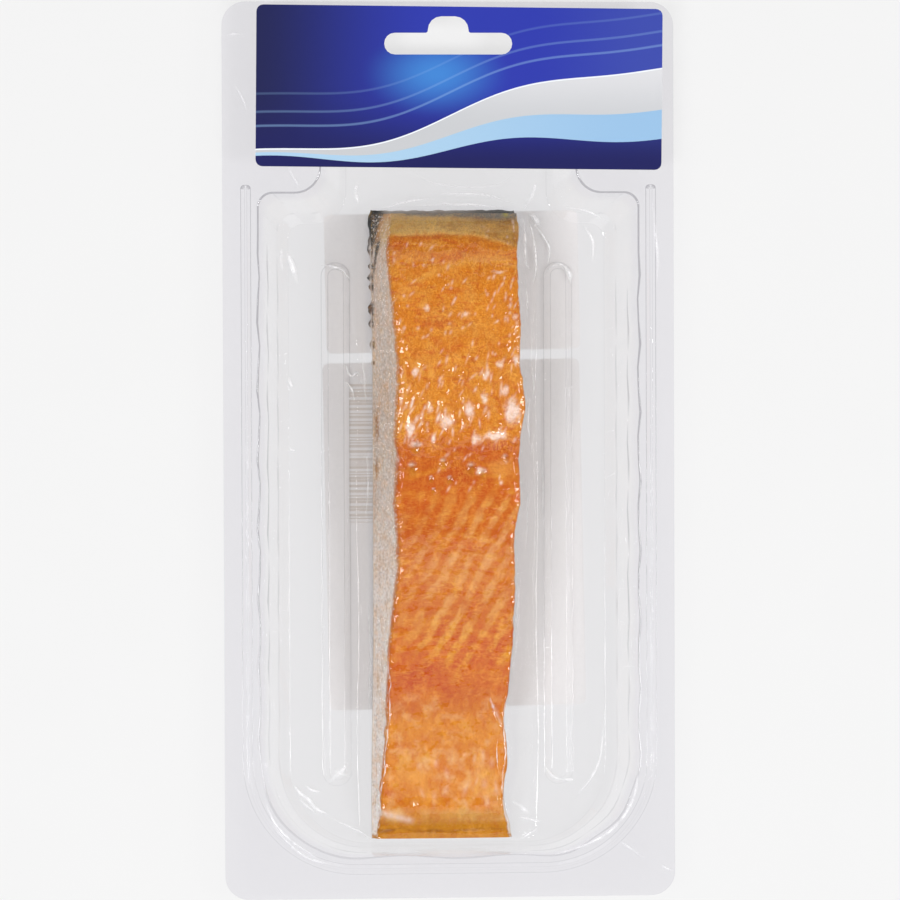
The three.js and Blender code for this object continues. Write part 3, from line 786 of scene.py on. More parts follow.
def pit_tones(tones, x, y):
    """Each pit has painted shade inside, a painted highlight on its rim behind it and an amber stain
    before it.
    """
    for pit_x, pit_y, radius in PITS:
        pit_shade_away = np.hypot(x - pit_x, (y - pit_y - 0.35 * radius) * 0.9) / radius
        rim = np.hypot(x - pit_x + 0.2 * radius, 2 * (y - pit_y - 0.5 * radius)) / radius
        stain = np.hypot(x - pit_x, y - pit_y + 0.9 * radius)
        tones = blend(
            tones,
            (SHADE, 0.75 * bell(pit_shade_away, 0, 0.6)),
            (MILKY_GLINT, 0.8 * bell(rim, 0, 0.55)),
            (AMBER, 0.6 * bell(stain, 0, radius)),
        )
    return tones


def end_tones(tones, x, y):
    """The pale band over the back end and the amber one over the belly end, with painted film sheen and
    glints on them.
    """
    line = back_line(x, y) + 0.25 * swell(x, y, 3, 143)
    rim = ease(58.0 - 1.6 * ease(-4, 16, x), 59.0, y + 0.3 * swell(x, y, 3, 149))
    glint_specks = ease(0.35, 0.8, rough(x, y, 0.9, 151, 2)) * ease(4, 13, x)
    band = blend(
        all_over(TAN, x),
        (BROWN, 0.5 * rough(x * 0.7, y * 1.3, 4.5, 145) + 0.45 * ease(2, 16, x)),
        # Grey along the back end's rim: partly skin, partly painted sheen of the film
        (GREY, 1.2 * rim * ease(-15, -9, x)),
        # Painted glints on the band's right part
        (MILKY_GLINT, 0.6 * glint_specks),
        (OLIVE, bell(np.hypot(x - 13.9, y - 58.9), 0, 0.7)),
    )
    belly = y + 0.7 * swell(x, y, 4, 59) + 0.4 * swell(x, y, 1.3, 60)
    fold_glint = bell(y + 90.6 + 0.28 * (x + 17), 0, 0.9) * ease(-8.5, -11, x)
    return blend(
        tones,
        (band, ease(-0.35, 0.5, line)),
        (PALE, 0.65 * bell(line, 0.1, 0.4) * (0.6 + 0.4 * swell(x, y, 5, 147))),
        (TAN, 0.6 * ease(-88.8, -91, belly) * (0.7 + 0.5 * swell(x, y, 3, 61))),
        (AMBER, ease(-91.6, -93.4, belly)),
        # A painted highlight where the film creases at the belly end's left
        (MILKY_GLINT, 0.6 * fold_glint),
        (BROWN, (0.75 + 0.5 * swell(x, y, 3, 62)) * bell(belly, -95.2, 0.35)),
    )


def side_tones(y, z):
    """Colours of the cut side: pale, speckled, with brown streaks along it; its white speckle is partly
    painted film glints.
    """
    streaks = 0.7 * rough(z * 1.4, y * 0.3, 2.0, 61, 4) - 0.2
    brown = np.maximum(bell(y, 6.5, 3.6) * bell(z, 6, 2), bell(y, -4.3, 2.4) * bell(z, 4.8, 1.5))
    corner = ease(50.5, 53.5, y + 0.1 * z) * ease(9, 5.5, z + 1.2 * rough(y, z, 1.6, 68))
    streak = ease(43.5, 46, y) * ease(54, 51, y) * bell(z - 5.2 - 0.75 * (y - 45.5), 0, 1.7)
    return blend(
        all_over(SIDE, y),
        (SIDE_PALE, ease(0, -45, y)),
        (SIDE_BROWN, streaks * ease(30, 8, y)),
        # White speckle: the side's own, mixed with painted glints of the film's crinkles
        (MILKY_GLINT, 0.9 * ease(0.25, 0.7, rough(z, y, 0.8, 64, 2)) * ease(-60, 30, y)),
        (SIDE_BROWN, 0.25 * rough(z, y, 0.9, 63)),
        (PALE, 0.04 + 0.35 * rough(z, y, 4, 67)),
        (BROWN, 1.5 * brown * (0.7 + 0.6 * rough(z, y * 0.3, 1.2, 70))),
        (TAN, 0.8 * ease(48, 54, y)),
        (BROWN, 0.7 * ease(50, 54, y) * ease(14, 8, z)),
        (DARK, 1.2 * corner),
        (DARK, 1.5 * edge_flecks(y) * ease(4.6, 2.2, z + rough(y, z, 1.1, 71))),
        (DARK, 1.6 * streak * ease(-1, -0.2, rough(y, z, 1.6, 69))),
    )


def flesh_tones(points, climb):
    """Colours of the whole flesh: the top face's, the cut side's below it, amber at the belly end."""
    x, y, z = points[..., 0], points[..., 1], points[..., 2]
    side = blend(side_tones(y, z), (ORANGE, 0.6 * ease(0.84, 1.0, climb)))
    share = ease(0.99, 0.9, climb)[..., None]
    tones = top_tones(x, y) * (1 - share) + side * share
    return blend(tones, (AMBER, ease(FISH_BELLY + 1.2, FISH_BELLY + 0.4, y)))


# Skin

# Dark flecks along the left edge: place, half width, half length and strength
SKIN_FLECKS = [
    (-20.9, 50.6, 1.5, 2.3, 1.0), (-20.3, 43.4, 1.0, 1.0, 1.0), (-20.0, 40.8, 0.8, 0.9, 0.9),
    (-19.7, 35.0, 0.8, 1.9, 1.0), (-19.7, 31.8, 0.6, 0.8, 0.9), (-19.7, 26.4, 0.7, 1.0, 0.9),
    (-19.6, 22.0, 0.4, 0.6, 0.7), (-19.8, 46.4, 0.6, 0.8, 0.8),
]
SKIN_EDGE = -19.6


def edge_flecks(y):
    """How strong the flecks are along the skin's edge."""
    on_edge = [(SKIN_EDGE, fleck_y, 1, half_y, 1) for _, fleck_y, _, half_y, _ in SKIN_FLECKS]
    return patches(SKIN_EDGE + 0 * y, y, on_edge)


def skin_tones(x, y):
    """Black at the left corner of the back end and in flecks along the left edge, pale elsewhere."""
    back = ease(50, 54.5, y + 0.8 * rough(x, y, 2, 163))
    flecks = patches(x, y, SKIN_FLECKS)
    return blend(
        all_over(SIDE, x),
        (SIDE_BROWN, 0.1 + 0.5 * rough(x, y, 1.6, 161)),
        (GREY, back * (0.25 + 0.75 * ease(-3, 12, x + rough(x, y, 2.5, 165)))),
        (DARK, back * np.maximum(ease(-14.5, -17.5, x), 0.7 * ease(6, 14, x))),
        (DARK, 1.8 * flecks * ease(-0.8, 0.1, rough(x, y, 0.8, 167))),
        (BROWN, 0.7 * flecks * ease(-0.1, 0.7, rough(x, y, 0.9, 169))),
        (TAN, bell(np.hypot(x + 20.2, y - 59.6), 0, 0.9)),
    )


def make_skin():
    """The skin, a closed sheet with a ragged left edge."""
    rows, columns = 300, 70
    share = np.linspace(0, 1, rows)[:, None]
    across = np.linspace(0, 1, columns)[None]
    y = (FISH_BACK + 0.9) * (1 - share) + (FISH_BELLY - 0.25) * share
    along = np.clip(y, FISH_BELLY, FISH_BACK)
    corner = ease(50, 58, y)
    flecks = edge_flecks(y)
    ragged = (0.4 * corner + 0.8 * flecks) * rough(y, 0.5, 2.4, 71)
    tuck = 0.7 * ease(FISH_BACK - 1, FISH_BACK + 1, y)
    left = base_left(along) - 0.1 - 0.5 * corner - 0.7 * flecks - ragged + tuck
    right = base_right(along) + 0.2 + 0.15 * rough(y, 7.5, 2.4, 75) - tuck
    x = left + (right - left) * across
    y = y + 0.25 * rough(x, 4.0, 2.0, 77) * ease(FISH_BACK - 2, FISH_BACK + 1, y)
    edge = np.minimum(across, 1 - across) * 2
    low = SKIN_LOW + 0.02 + 0.1 * (1 - ease(0, 0.06, edge)) + 0 * x
    high = SKIN_LOW + SKIN_SHEET + 0.13 - 0.12 * (1 - ease(0, 0.04, edge))
    high = high - 0.03 * (1 + rough(x, y, 1.3, 79))
    upper_side = np.stack([x, y, high], -1).reshape(-1, 3)
    lower_side = np.stack([x, y, low], -1).reshape(-1, 3)
    size = rows * columns
    faces = [list(face) for face in grid_faces(rows, columns)]
    faces += [[k + size for k in reversed(face)] for face in faces]
    index = np.arange(size).reshape(rows, columns)
    border = [*index[0, ::-1], *index[1:, 0], *index[-1, 1:], *index[-2:0:-1, -1]]
    faces += [[int(border[k]), int(border[k - 1]), int(border[k - 1]) + size, int(border[k]) + size]
              for k in range(len(border))]
    made = make_object("skin", np.concatenate([upper_side, lower_side]), faces, skin_material())
    paint(made, np.tile(skin_tones(x, y).reshape(-1, 3), (2, 1)))
    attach(made, "root")
    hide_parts("fillet_skin")


# Film and tray

# Tint of one pass through each sheet: on the flange, on the pocket's wall and on its floor. The flange's
# darker tint is partly the thicker sheet and partly painted shadow of the flange on the floor beneath.
FILM_TINTS = ((0.965, 0.962, 0.972), (0.985, 0.983, 0.987), (0.975, 0.973, 0.977))
TRAY_TINTS = ((0.93, 0.925, 0.942), (0.95, 0.948, 0.954), (0.93, 0.928, 0.936))

# Where the film over the fish meets the floor, and the patch that it is part of
FILM_FOOT_LEFT = -22.5
FILM_FOOT_RIGHT = 22.4
FILM_FOOT_BACK = 63.2
FILM_FOOT_BELLY = -98.45
PATCH_HALF = 23.7
PATCH_HALF_BELLY = 21.8
PATCH_BACK = 64.6
PATCH_BELLY = -98.62


def patch_half(y):
    """Half the width of the film's patch over the fish, drawn in where the pocket's foot is round."""
    return PATCH_HALF + (PATCH_HALF_BELLY - PATCH_HALF) * ease(-92, -97, y)


def film_sections(places):
    """The film's sections over the fish, out to the level floor on both sides."""
    floor = BASE_TOP + FILM_LIFT
    points, out, climb = fish_sections(places, floor, (24, 9, 104), grow=0.15, ripple=0.22, bridge=0.35)
    x, y = points[..., 0], points[..., 1]
    half = patch_half(places)[:, None]
    foot_left = np.maximum(FILM_FOOT_LEFT + 0.3 * np.sin(y / 9), 0.3 - half)
    foot_right = np.minimum(FILM_FOOT_RIGHT - 0.3 * np.sin(y / 9), half - 0.3)
    flare = np.where(x < 0, foot_left - base_left(y) + 0.15, foot_right - base_right(y) - 0.15)
    points[..., 0] += flare * np.clip(1 - climb, 0, 1) ** 1.5
    lift = 0.32 * ease(0.0, 0.12, climb)
    on_top = ease(0.9, 1.2, climb)
    relief = lift + on_top * followed_relief(x, y) + crinkles(x, y, climb) + pleat_relief(y, climb)
    points = points + out * relief[..., None]
    left, right = points[:, :1], points[:, -1:]
    margin = np.linspace(0, 1, 5)[None, :, None]
    left_edge = left * [0, 1, 1] - half[..., None] * [1, 0, 0]
    right_edge = right * [0, 1, 1] + half[..., None] * [1, 0, 0]
    outer_left = left_edge + (left - left_edge) * margin[:, :-1]
    outer_right = right + (right_edge - right) * margin[:, 1:]
    return np.concatenate([outer_left, points, outer_right], 1)


def followed_relief(x, y):
    """How far the film follows the flesh's own relief under it."""
    smoother = 0.4 - 0.22 * ease(-4, -14, y)
    return smoother * flake_relief(x, y) + 0.5 * pit_relief(x, y) + 0.4 * end_relief(x, y)


def crinkles(x, y, climb):
    """The film's ridges and blisters on the top face, and its uneven run over the long edges."""
    on_top = ease(0.9, 1.2, climb)
    on_edge = ease(0.8, 0.98, climb) * ease(1.45, 1.0, climb)
    scallops = rough(y, x * 0.3, 3.2, 99) * bell(y, -7, 9)
    return (0.09 * ridged(x * 1.2, y, 2.4, 81) * on_top
            + spot_relief(x, y, FILM_RIDGES + FILM_FACETS) * on_top
            + 0.2 * rough(x, y, 5.5, 83) * ease(-72, -84, y) * on_top
            + 0.22 * rough(y, x * 0.4, 1.3, 97) * on_edge
            + 0.7 * scallops * on_edge)


def pleat_relief(y, climb):
    """Upright folds where the film hangs from the long edges to the floor."""
    hanging = ease(0, 0.3, climb) * ease(1.4, 0.9, climb)
    folds = rough(y, climb * 3, 3.4, 91) + 0.6 * rough(y, climb * 2, 1.1, 95)
    return 0.2 * folds * hanging


def film_rows():
    """Rows of points over the fish, from the film's foot behind it to its foot at the belly end."""
    places = np.linspace(FISH_BACK, FISH_BELLY, 520)
    rows = film_sections(places)
    lean = 0.5 * (ease(44, 57, places) - ease(-86, -92, places))
    rows[..., 1] += lean[:, None]
    back = [end_row(rows[0], FILM_FOOT_BACK, PATCH_BACK, share, 0.6)
            for share in np.linspace(1.25, 0.04, 16)]
    belly = [end_row(rows[-1], FILM_FOOT_BELLY, PATCH_BELLY, share, 0.0)
             for share in np.linspace(0.08, 1.25, 10)]
    return np.concatenate([back, rows, belly])


def end_row(row, foot, edge, share, bow):
    """A row on the film's fall from the fish's end, at share 1 to its foot and beyond to the edge."""
    floor = BASE_TOP + FILM_LIFT
    keep = max(0.0, 1 - share) ** 1.3
    start = row[0, 1]
    count = len(row)
    spread = np.linspace(-1, 1, count) * patch_half(start)
    reach = start + (foot - start) * min(share, 1) + (edge - foot) * max(0.0, share - 1) * 4
    made = row.copy()
    made[:, 0] = spread + (row[:, 0] - spread) * max(keep, 0.25 if share < 1.2 else 0)
    bulge = bow * np.sin(np.linspace(0, math.pi, count)) * ease(1.25, 1.0, share) * ease(0, 0.8, share)
    made[:, 1] = reach + bulge
    made[:, 2] = floor + (row[:, 2] - floor) * keep
    return made


# Fine creases of the film, each as its points, half its width, how much it wiggles and how white it is;
# the white is a painted highlight, with some stress whitening
CREASES = [
    ([(-41.3, 51), (-41.6, 48), (-41.2, 45.2)], 0.5, 0, 0.5),
    ([(-40.2, 50.2), (-38.6, 46), (-37.4, 41.6)], 0.9, 0, 0.7),
    ([(-38.8, -84.2), (-37.2, -86.4), (-35.4, -87.6), (-33.4, -89.8), (-30.6, -91.4)], 0.7, 0.15, 0.7),
    ([(-36.2, -84.2), (-34.4, -85.4), (-32.4, -85.8)], 0.5, 0.12, 0.5),
    ([(-37.6, -87.4), (-35.6, -89.4), (-33.2, -91)], 0.4, 0.12, 0.5),
    ([(-30.4, -84.2), (-28, -81.4), (-25.4, -79.2)], 1.0, 0.2, 0.5),
    ([(-28.6, -79.8), (-26.6, -81.4), (-24, -81.8)], 0.6, 0.2, 0.4),
    ([(-30.2, -92.4), (-26.4, -94), (-22.2, -96.2), (-19, -98.2)], 0.3, 0.15, 0.5),
    ([(17.4, -92.4), (20.4, -93.2), (23.6, -93.8)], 0.5, 0.2, 0.6),
    ([(18.4, -97.8), (20.4, -97), (22.6, -95.4)], 0.5, 0.2, 0.5),
    ([(15.8, -88.2), (18, -89.8), (20.6, -91.8)], 0.9, 0.15, 0.7),
    ([(18.6, 58), (18.9, 51.6), (19.4, 46.4), (20.8, 44.6)], 0.36, 0.05, 0.9),
    ([(20.4, 57.4), (22, 52), (22.5, 45.4), (21.1, 40.6)], 0.36, 0.05, 1),
    ([(21.8, 56.8), (24.2, 54), (25.9, 50.6), (25.4, 46)], 0.36, 0.05, 1),
    ([(20.6, 59.4), (22.4, 58), (23.4, 56)], 1.2, 0.2, 0.6),
    ([(18.6, 43), (19.2, 38), (18.8, 32)], 0.25, 0.1, 0.5),
    ([(20.6, 33), (20.8, 27), (20.4, 20)], 0.25, 0.1, 0.5),
    ([(19.6, 12.4), (19.2, 7.4), (20, 2.4)], 0.34, 0.1, 0.8),
    ([(21, 20.4), (21.6, 15.4), (20.8, 11)], 0.3, 0.1, 0.6),
    ([(19, -6), (19.4, -16), (18.8, -27)], 0.22, 0.1, 0.5),
    ([(16.2, -28), (16.4, -36), (15.8, -47)], 0.22, 0.12, 0.5),
    ([(19.4, 60.6), (21.6, 63.6), (22.6, 67)], 0.6, 0.1, 0.7),
    ([(17, 61.6), (12, 63.4), (5, 64.2), (-2, 64.4)], 0.45, 0.15, 0.6),
    ([(14, 60.6), (8, 61.4), (1, 61.6), (-8, 61.2)], 0.4, 0.2, 0.6),
    ([(-17, 60.4), (-10, 62.4), (-4, 63)], 0.35, 0.15, 0.6),
    ([(-22.4, 67), (-22.8, 64.6), (-22.2, 62)], 0.6, 0.1, 0.7),
    ([(-8.5, 70.1), (-5.5, 67.9), (0.5, 66.4), (7.8, 65.9), (12.1, 66.3), (17.8, 69.4)], 0.2, 0, 0.5),
    ([(-40, 70.6), (-37.4, 66)], 0.2, 0, 0.6),
    ([(30, 61.1), (36.4, 59.4), (41.1, 56.9)], 0.22, 0.1, 0.6),
    ([(34.6, 56.4), (36.9, 52.6), (36.9, 47.6)], 0.4, 0.1, 0.6),
    ([(51, 62), (51.8, 55), (52.4, 48), (52.4, 42)], 0.5, 0.1, 0.6),
    ([(-31.6, 46.4), (-28.6, 46.1), (-26.1, 45.1), (-24.4, 42.6)], 0.4, 0, 0.7),
    ([(24.6, 43.8), (26.5, 46), (28.5, 46.6), (30.6, 44.5), (31.4, 41.2)], 0.45, 0, 0.6),
    ([(29.6, 46.4), (30.9, 44.2), (31.2, 42)], 0.9, 0, 0.7),
    ([(-39.8, 18.6), (-39.4, 17), (-38.8, 15.8)], 0.5, 0, 0.7),
    ([(-39.6, 0.8), (-38.8, 0), (-38, 0.3)], 0.4, 0, 0.7),
    ([(43, -98.6), (46, -100.8), (48.6, -102.4)], 0.3, 0.1, 0.7),
    ([(53, -104.6), (55.6, -105.8)], 0.3, 0, 0.7),
    ([(-55.2, 103.6), (-52.8, 103.9), (-50.6, 103.2)], 0.3, 0, 0.6),
    ([(-53.8, 92), (-51.4, 88), (-50.2, 84.6)], 0.2, 0, 0.5),
    ([(-25.6, 21.6), (-23.8, 18.6), (-22.6, 19.4), (-21.6, 16.4)], 0.4, 0.15, 1),
    ([(-25.8, 17.4), (-24, 15.4), (-23.2, 12.4)], 0.4, 0.1, 0.9),
    ([(-21.6, 24), (-21.2, 18.8), (-20.6, 12)], 0.3, 0.2, 0.9),
    ([(-20.6, 0), (-20.4, -8), (-20.8, -16)], 0.3, 0.2, 0.6),
    ([(-20.2, -38), (-19.8, -52), (-20.4, -66)], 0.25, 0.2, 0.6),
    ([(-16.2, -47), (-15.7, -64.6), (-16.3, -73.3), (-16.8, -78.7), (-17.3, -82.7), (-18.3, -91.6),
      (-18.8, -96)], 0.26, 0.26, 0.62),
    ([(14.5, -57.1), (13, -64.6), (13.3, -72.8), (13.5, -75.7), (12.8, -80.5), (12.5, -84.4),
      (13.5, -88.4), (14.8, -91.6), (14.8, -95.1)], 0.28, 0.2, 0.72),
    ([(11.4, -72), (11.2, -76), (11.6, -80.4)], 0.2, 0.1, 0.7),
    ([(9.3, -61.4), (10.4, -64.4), (12.8, -69.3)], 0.75, 0, 1),
    ([(23.8, -2), (24.2, -10), (23.8, -18)], 0.35, 0.05, 0.4),
    ([(-46.2, -88), (-43.9, -93.1), (-40.4, -97), (-34.1, -101.3)], 0.45, 0, 0.9),
    ([(-45.4, -92.3), (-41.1, -97.4), (-36.4, -101.3), (-31, -103.2)], 0.35, 0, 0.7),
    ([(47.5, -78.6), (45.6, -88.4), (40.8, -95.1), (33.1, -99.4), (25.4, -101.8)], 0.5, 0, 0.8),
    ([(39.4, -70.1), (37.9, -79.6), (32.1, -88.4)], 0.35, 0.1, 0.6),
    ([(23.9, -78.6), (26.4, -82.4), (31.6, -83.6)], 0.4, 0.1, 0.6),
    ([(29.2, -83.2), (31.8, -83.4)], 0.7, 0, 0.8),
]


def curve_through(corners, spacing=0.4):
    """Evenly spaced points along a smooth curve through the corners."""
    corners = np.array(corners, float)
    lengths = np.append(0, np.cumsum(np.linalg.norm(np.diff(corners, axis=0), axis=1)))
    places = np.linspace(0, lengths[-1], max(4, int(lengths[-1] / spacing)))
    return np.column_stack([smooth_curve(lengths, values, places) for values in corners.T])


def make_creases(films):
    """Small raised folds laid along the film's surface."""
    trees = [BVHTree.FromObject(film, bpy.context.evaluated_depsgraph_get()) for film in films]

    def film_height(x, y):
        hits = [tree.ray_cast((x * MM, y * MM, 0.06), (0, 0, -1))[0] for tree in trees]
        return max(hit.z / MM for hit in hits if hit is not None)

    points, faces, crease_glint_whites = [], [], []
    across = np.linspace(-1, 1, 7)
    ridge = 1 - np.abs(across)
    for corners, half_width, wiggle, white in CREASES:
        middle = curve_through(corners)
        direction = np.gradient(middle, axis=0)
        direction /= np.linalg.norm(direction, axis=1, keepdims=True)
        aside = np.column_stack([-direction[:, 1], direction[:, 0]])
        sway = 1.8 * wiggle * rough(*middle.T, 3.2, 301)
        glint_patchiness = np.clip(0.75 + 0.9 * rough(*middle.T, 1.9, 305), 0.15, 1.1)
        middle = middle + aside * sway[:, None]
        levels = np.array([film_height(x, y) for x, y in middle])
        levels = np.convolve(np.pad(levels, 1, "edge"), (0.25, 0.5, 0.25), "valid")
        taper = np.sin(np.linspace(0.05, math.pi - 0.05, len(middle))) ** 0.5
        width = taper[:, None]
        reach = across * half_width * width
        rise = 0.25 * half_width * width * ridge * (1 - 0.12 * ridge ** 4)
        x, y = ((middle[:, [axis]] + aside[:, [axis]] * reach).ravel() for axis in (0, 1))
        faces += [[len(points) + k for k in face] for face in grid_faces(*reach.shape).tolist()]
        points += zip(x, y, (levels[:, None] + 0.03 + rise).ravel())
        # The white along each ridge is a painted highlight, uneven along the crease
        crease_glint_whites += (white * glint_patchiness[:, None] * width * ridge ** 1.2).ravel().tolist()
    made = make_object("film_creases", points, faces, crease_glint_material())
    paint(made, np.array(crease_glint_whites)[:, None], "white")
    return made


def make_film():
    """The film: its formed sheet with a hole for the fish, the part over the fish, and the creases."""
    rows = film_rows()
    border = np.concatenate([rows[0, ::-1], rows[1:-1, 0], rows[-1], rows[-2:0:-1, -1]])
    sheet = formed_sheet(FILM_LIFT, border[:, :2])
    look = clear_material("level_film_look", FILM_TINTS, 0.02, 0.6, 0.25)
    made = make_object("lidding_film_sheet", sheet.points, sheet.faces, look, sharp_angle=SHEET_SHARP)
    paint(made, sheet.bends()[:, None], "bends")
    look = clear_material("film_over_fish_look", FILM_TINTS, 0.03, 0.35, 0.25)
    over = make_object("film_over_fish", rows.reshape(-1, 3), grid_faces(*rows.shape[:2]), look)
    creases = make_creases((made, over))
    for piece in (made, over, creases):
        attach(piece, "root")
        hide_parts("lidding_film")


def make_tray():
    """The tray: its formed sheet, with a rim along the flange and along the hang hole."""
    sheet = formed_sheet(0)
    for outline in (pack_outline(), slot_outline()[::-1]):
        sheet.rim(outline, FLANGE_TOP, TRAY_SHEET)
    look = clear_material("tray_plastic_look", TRAY_TINTS, 0.02, 0.9, 0.1)
    made = make_object("clear_tray", sheet.points, sheet.faces, look, sharp_angle=SHEET_SHARP)
    paint(made, sheet.bends()[:, None], "bends")
    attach(made, "root")
    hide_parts("tray")


# Materials

# Painted shade at sharp bends of clear plastic, where a real sheet bends the light away
BEND_SHADE_TINT = (0.79, 0.79, 0.8, 1)
# Tints of the flesh's dark spots, and the colours of its light ones
DEEP_TINT = (0.7, 0.56, 0.4, 1)
RICH_TINT = (0.9, 0.66, 0.45, 1)
GOLDEN = (0.95, 0.45, 0.07, 1)
VEIN = (0.92, 0.52, 0.08, 1)
# The side's light flecks: its pale speckle mixed with painted film glints
LIGHT_FLECK_AND_GLINT = (0.86, 0.8, 0.74, 1)
DARK_FLECK = (0.36, 0.27, 0.2, 1)
SCALE_EDGE = (0.4, 0.38, 0.32, 1)
# Inks of the header and of the lower back label's bars
NAVY = (0.009, 0.011, 0.065, 1)
FOOT_NAVY = (0.008, 0.009, 0.085, 1)
BLUE = (0.02, 0.032, 0.33, 1)
RIGHT_BLUE = (0.035, 0.055, 0.33, 1)
FIELD_GLOW = (0.06, 0.32, 0.7, 1)
WAVE_CREST = (0.72, 0.75, 0.8, 1)
WAVE_LINE = (0.25, 0.42, 0.7, 1)
BAR_INK = (0.5, 0.42, 0.34, 1)
# The bars' field on the lower back label, in X and in Y
BAR_FIELD = ((-24.6, -17), (-18.3, 16.6))


class Nodes:
    """Short names for building one material's node tree."""

    def __init__(self, name):
        self.material = bpy.data.materials.new(name)
        self.material.use_nodes = True
        self.tree = self.material.node_tree
        self.tree.nodes.clear()

    def put(self, socket, value):
        if isinstance(value, bpy.types.NodeSocket):
            self.tree.links.new(value, socket)
        else:
            socket.default_value = value

    def add(self, kind, inputs=None, **settings):
        made = self.tree.nodes.new("ShaderNode" + kind)
        for name, value in settings.items():
            setattr(made, name, value)
        for name, value in (inputs or {}).items():
            self.put(made.inputs[name], value)
        return made

    def math(self, operation, *values):
        return self.add("Math", dict(enumerate(values)), operation=operation).outputs[0]

    def times(self, first, *others):
        """The product of all the values."""
        for other in others:
            first = self.math("MULTIPLY", first, other)
        return first

    def plus(self, first, second):
        return self.math("ADD", first, second)

    def scaled(self, value, factor, start):
        """A value times a factor, from a start."""
        return self.math("MULTIPLY_ADD", value, factor, start)

    def axes(self, kind="Object"):
        """X, Y and Z of a point's place, or of the way that its surface faces."""
        return self.add("SeparateXYZ", {0: self.add("TexCoord").outputs[kind]}).outputs

    def millimetres(self):
        """X and Y of a point's place, in millimetres."""
        place = self.axes()
        return self.times(place[0], 1000), self.times(place[1], 1000)

    def vertex_colour(self, name):
        return self.add("VertexColor", layer_name=name).outputs[0]

    def mix(self, amount, first, second, blend_type="MIX"):
        made = self.add("Mix", data_type="RGBA", blend_type=blend_type)
        for index, value in ((0, amount), (6, first), (7, second)):
            self.put(made.inputs[index], value)
        return made.outputs[2]

    def cover(self, colour, other, *shares):
        """A colour covered by another one, by the product of the shares."""
        return self.mix(self.times(*shares), colour, other)

    def tinted(self, colour, tint):
        return self.mix(1.0, colour, tint, "MULTIPLY")

    def noise(self, scale, detail=3, stretch=(1, 1, 1), distortion=0.0):
        place = self.add("TexCoord").outputs["Object"]
        moved = self.add("Mapping", {"Vector": place, "Scale": stretch}).outputs[0]
        values = {"Vector": moved, "Scale": scale, "Detail": detail, "Distortion": distortion}
        return self.add("TexNoise", values).outputs["Fac"]

    def steps(self, value, start, end):
        """Goes smoothly from 0 to 1 as a value goes from start to end, in either direction."""
        made = self.add("MapRange", {0: value, 1: start, 2: end}, interpolation_type="SMOOTHSTEP")
        return made.outputs[0]

    def lines(self, noise, width):
        """1 along the thin wandering lines where a noise passes its middle."""
        away = self.math("ABSOLUTE", self.math("SUBTRACT", noise, 0.5))
        return self.steps(away, width, 0.3 * width)

    def bumps(self, strength, distance, height):
        inputs = {"Strength": strength, "Distance": distance, "Height": height}
        return self.add("Bump", inputs).outputs[0]

    def finish(self, kind, inputs):
        """Ends the tree with one shader, and gives the material."""
        self.add("OutputMaterial", {"Surface": self.add(kind, inputs).outputs[0]})
        return self.material


def clear_material(name, tints, facing_share, grazing_share, bump_size):
    """Clear plastic: light passes with a slight tint, and the surface reflects by its angle.

    The tints are for the flange, the pocket's drawn and so thinner wall, and the pocket's floor; the
    flange's darker tint is partly painted shadow of the flange on the floor beneath. Sharp bends get a
    painted shade tint, for the light that bends away there. The shares are how much it reflects seen
    from above and edge on.
    """
    nodes = Nodes(name)
    height = nodes.axes()[2]
    flange, wall, floor = ((*tint, 1) for tint in tints)
    drawn = nodes.steps(height, (FLANGE_TOP - 0.6) * MM, (BASE_TOP + 5) * MM)
    level = nodes.steps(height, (BASE_TOP + 2.6) * MM, (BASE_TOP + 0.7) * MM)
    tint = nodes.mix(level, nodes.mix(drawn, flange, wall), floor)
    tint = nodes.mix(nodes.vertex_colour("bends"), tint, nodes.tinted(tint, BEND_SHADE_TINT))
    uneven = nodes.plus(nodes.noise(160, 2), nodes.times(nodes.noise(900, 2), 0.12))
    bump = nodes.bumps(bump_size, 0.0006, uneven)
    clear = nodes.add("BsdfTransparent", {"Color": tint}).outputs[0]
    gloss_inputs = {"Color": (1, 1, 1, 1), "Roughness": 0.05, "Normal": bump}
    gloss = nodes.add("BsdfAnisotropic", gloss_inputs).outputs[0]
    facing = nodes.add("LayerWeight", {"Blend": 0.5, "Normal": bump}).outputs["Facing"]
    share = nodes.scaled(nodes.math("POWER", facing, 5.0), grazing_share, facing_share)
    return nodes.finish("MixShader", {0: share, 1: clear, 2: gloss})


def crease_glint_material():
    """Folds of the film, white along their ridges with painted highlights and some stress whitening."""
    nodes = Nodes("film_crease_glint_look")
    glint_patchiness = nodes.noise(1100, 3)
    patchy = nodes.scaled(nodes.steps(glint_patchiness, 0.35, 0.6), 0.45, 0.55)
    share = nodes.times(nodes.vertex_colour("white"), patchy)
    white = nodes.mix(glint_patchiness, (0.84, 0.84, 0.86, 1), (0.98, 0.98, 1, 1))
    glint_white_shader = nodes.add("BsdfPrincipled", {"Base Color": white, "Roughness": 0.35}).outputs[0]
    clear = nodes.add("BsdfTransparent").outputs[0]
    return nodes.finish("MixShader", {0: share, 1: clear, 2: glint_white_shader})


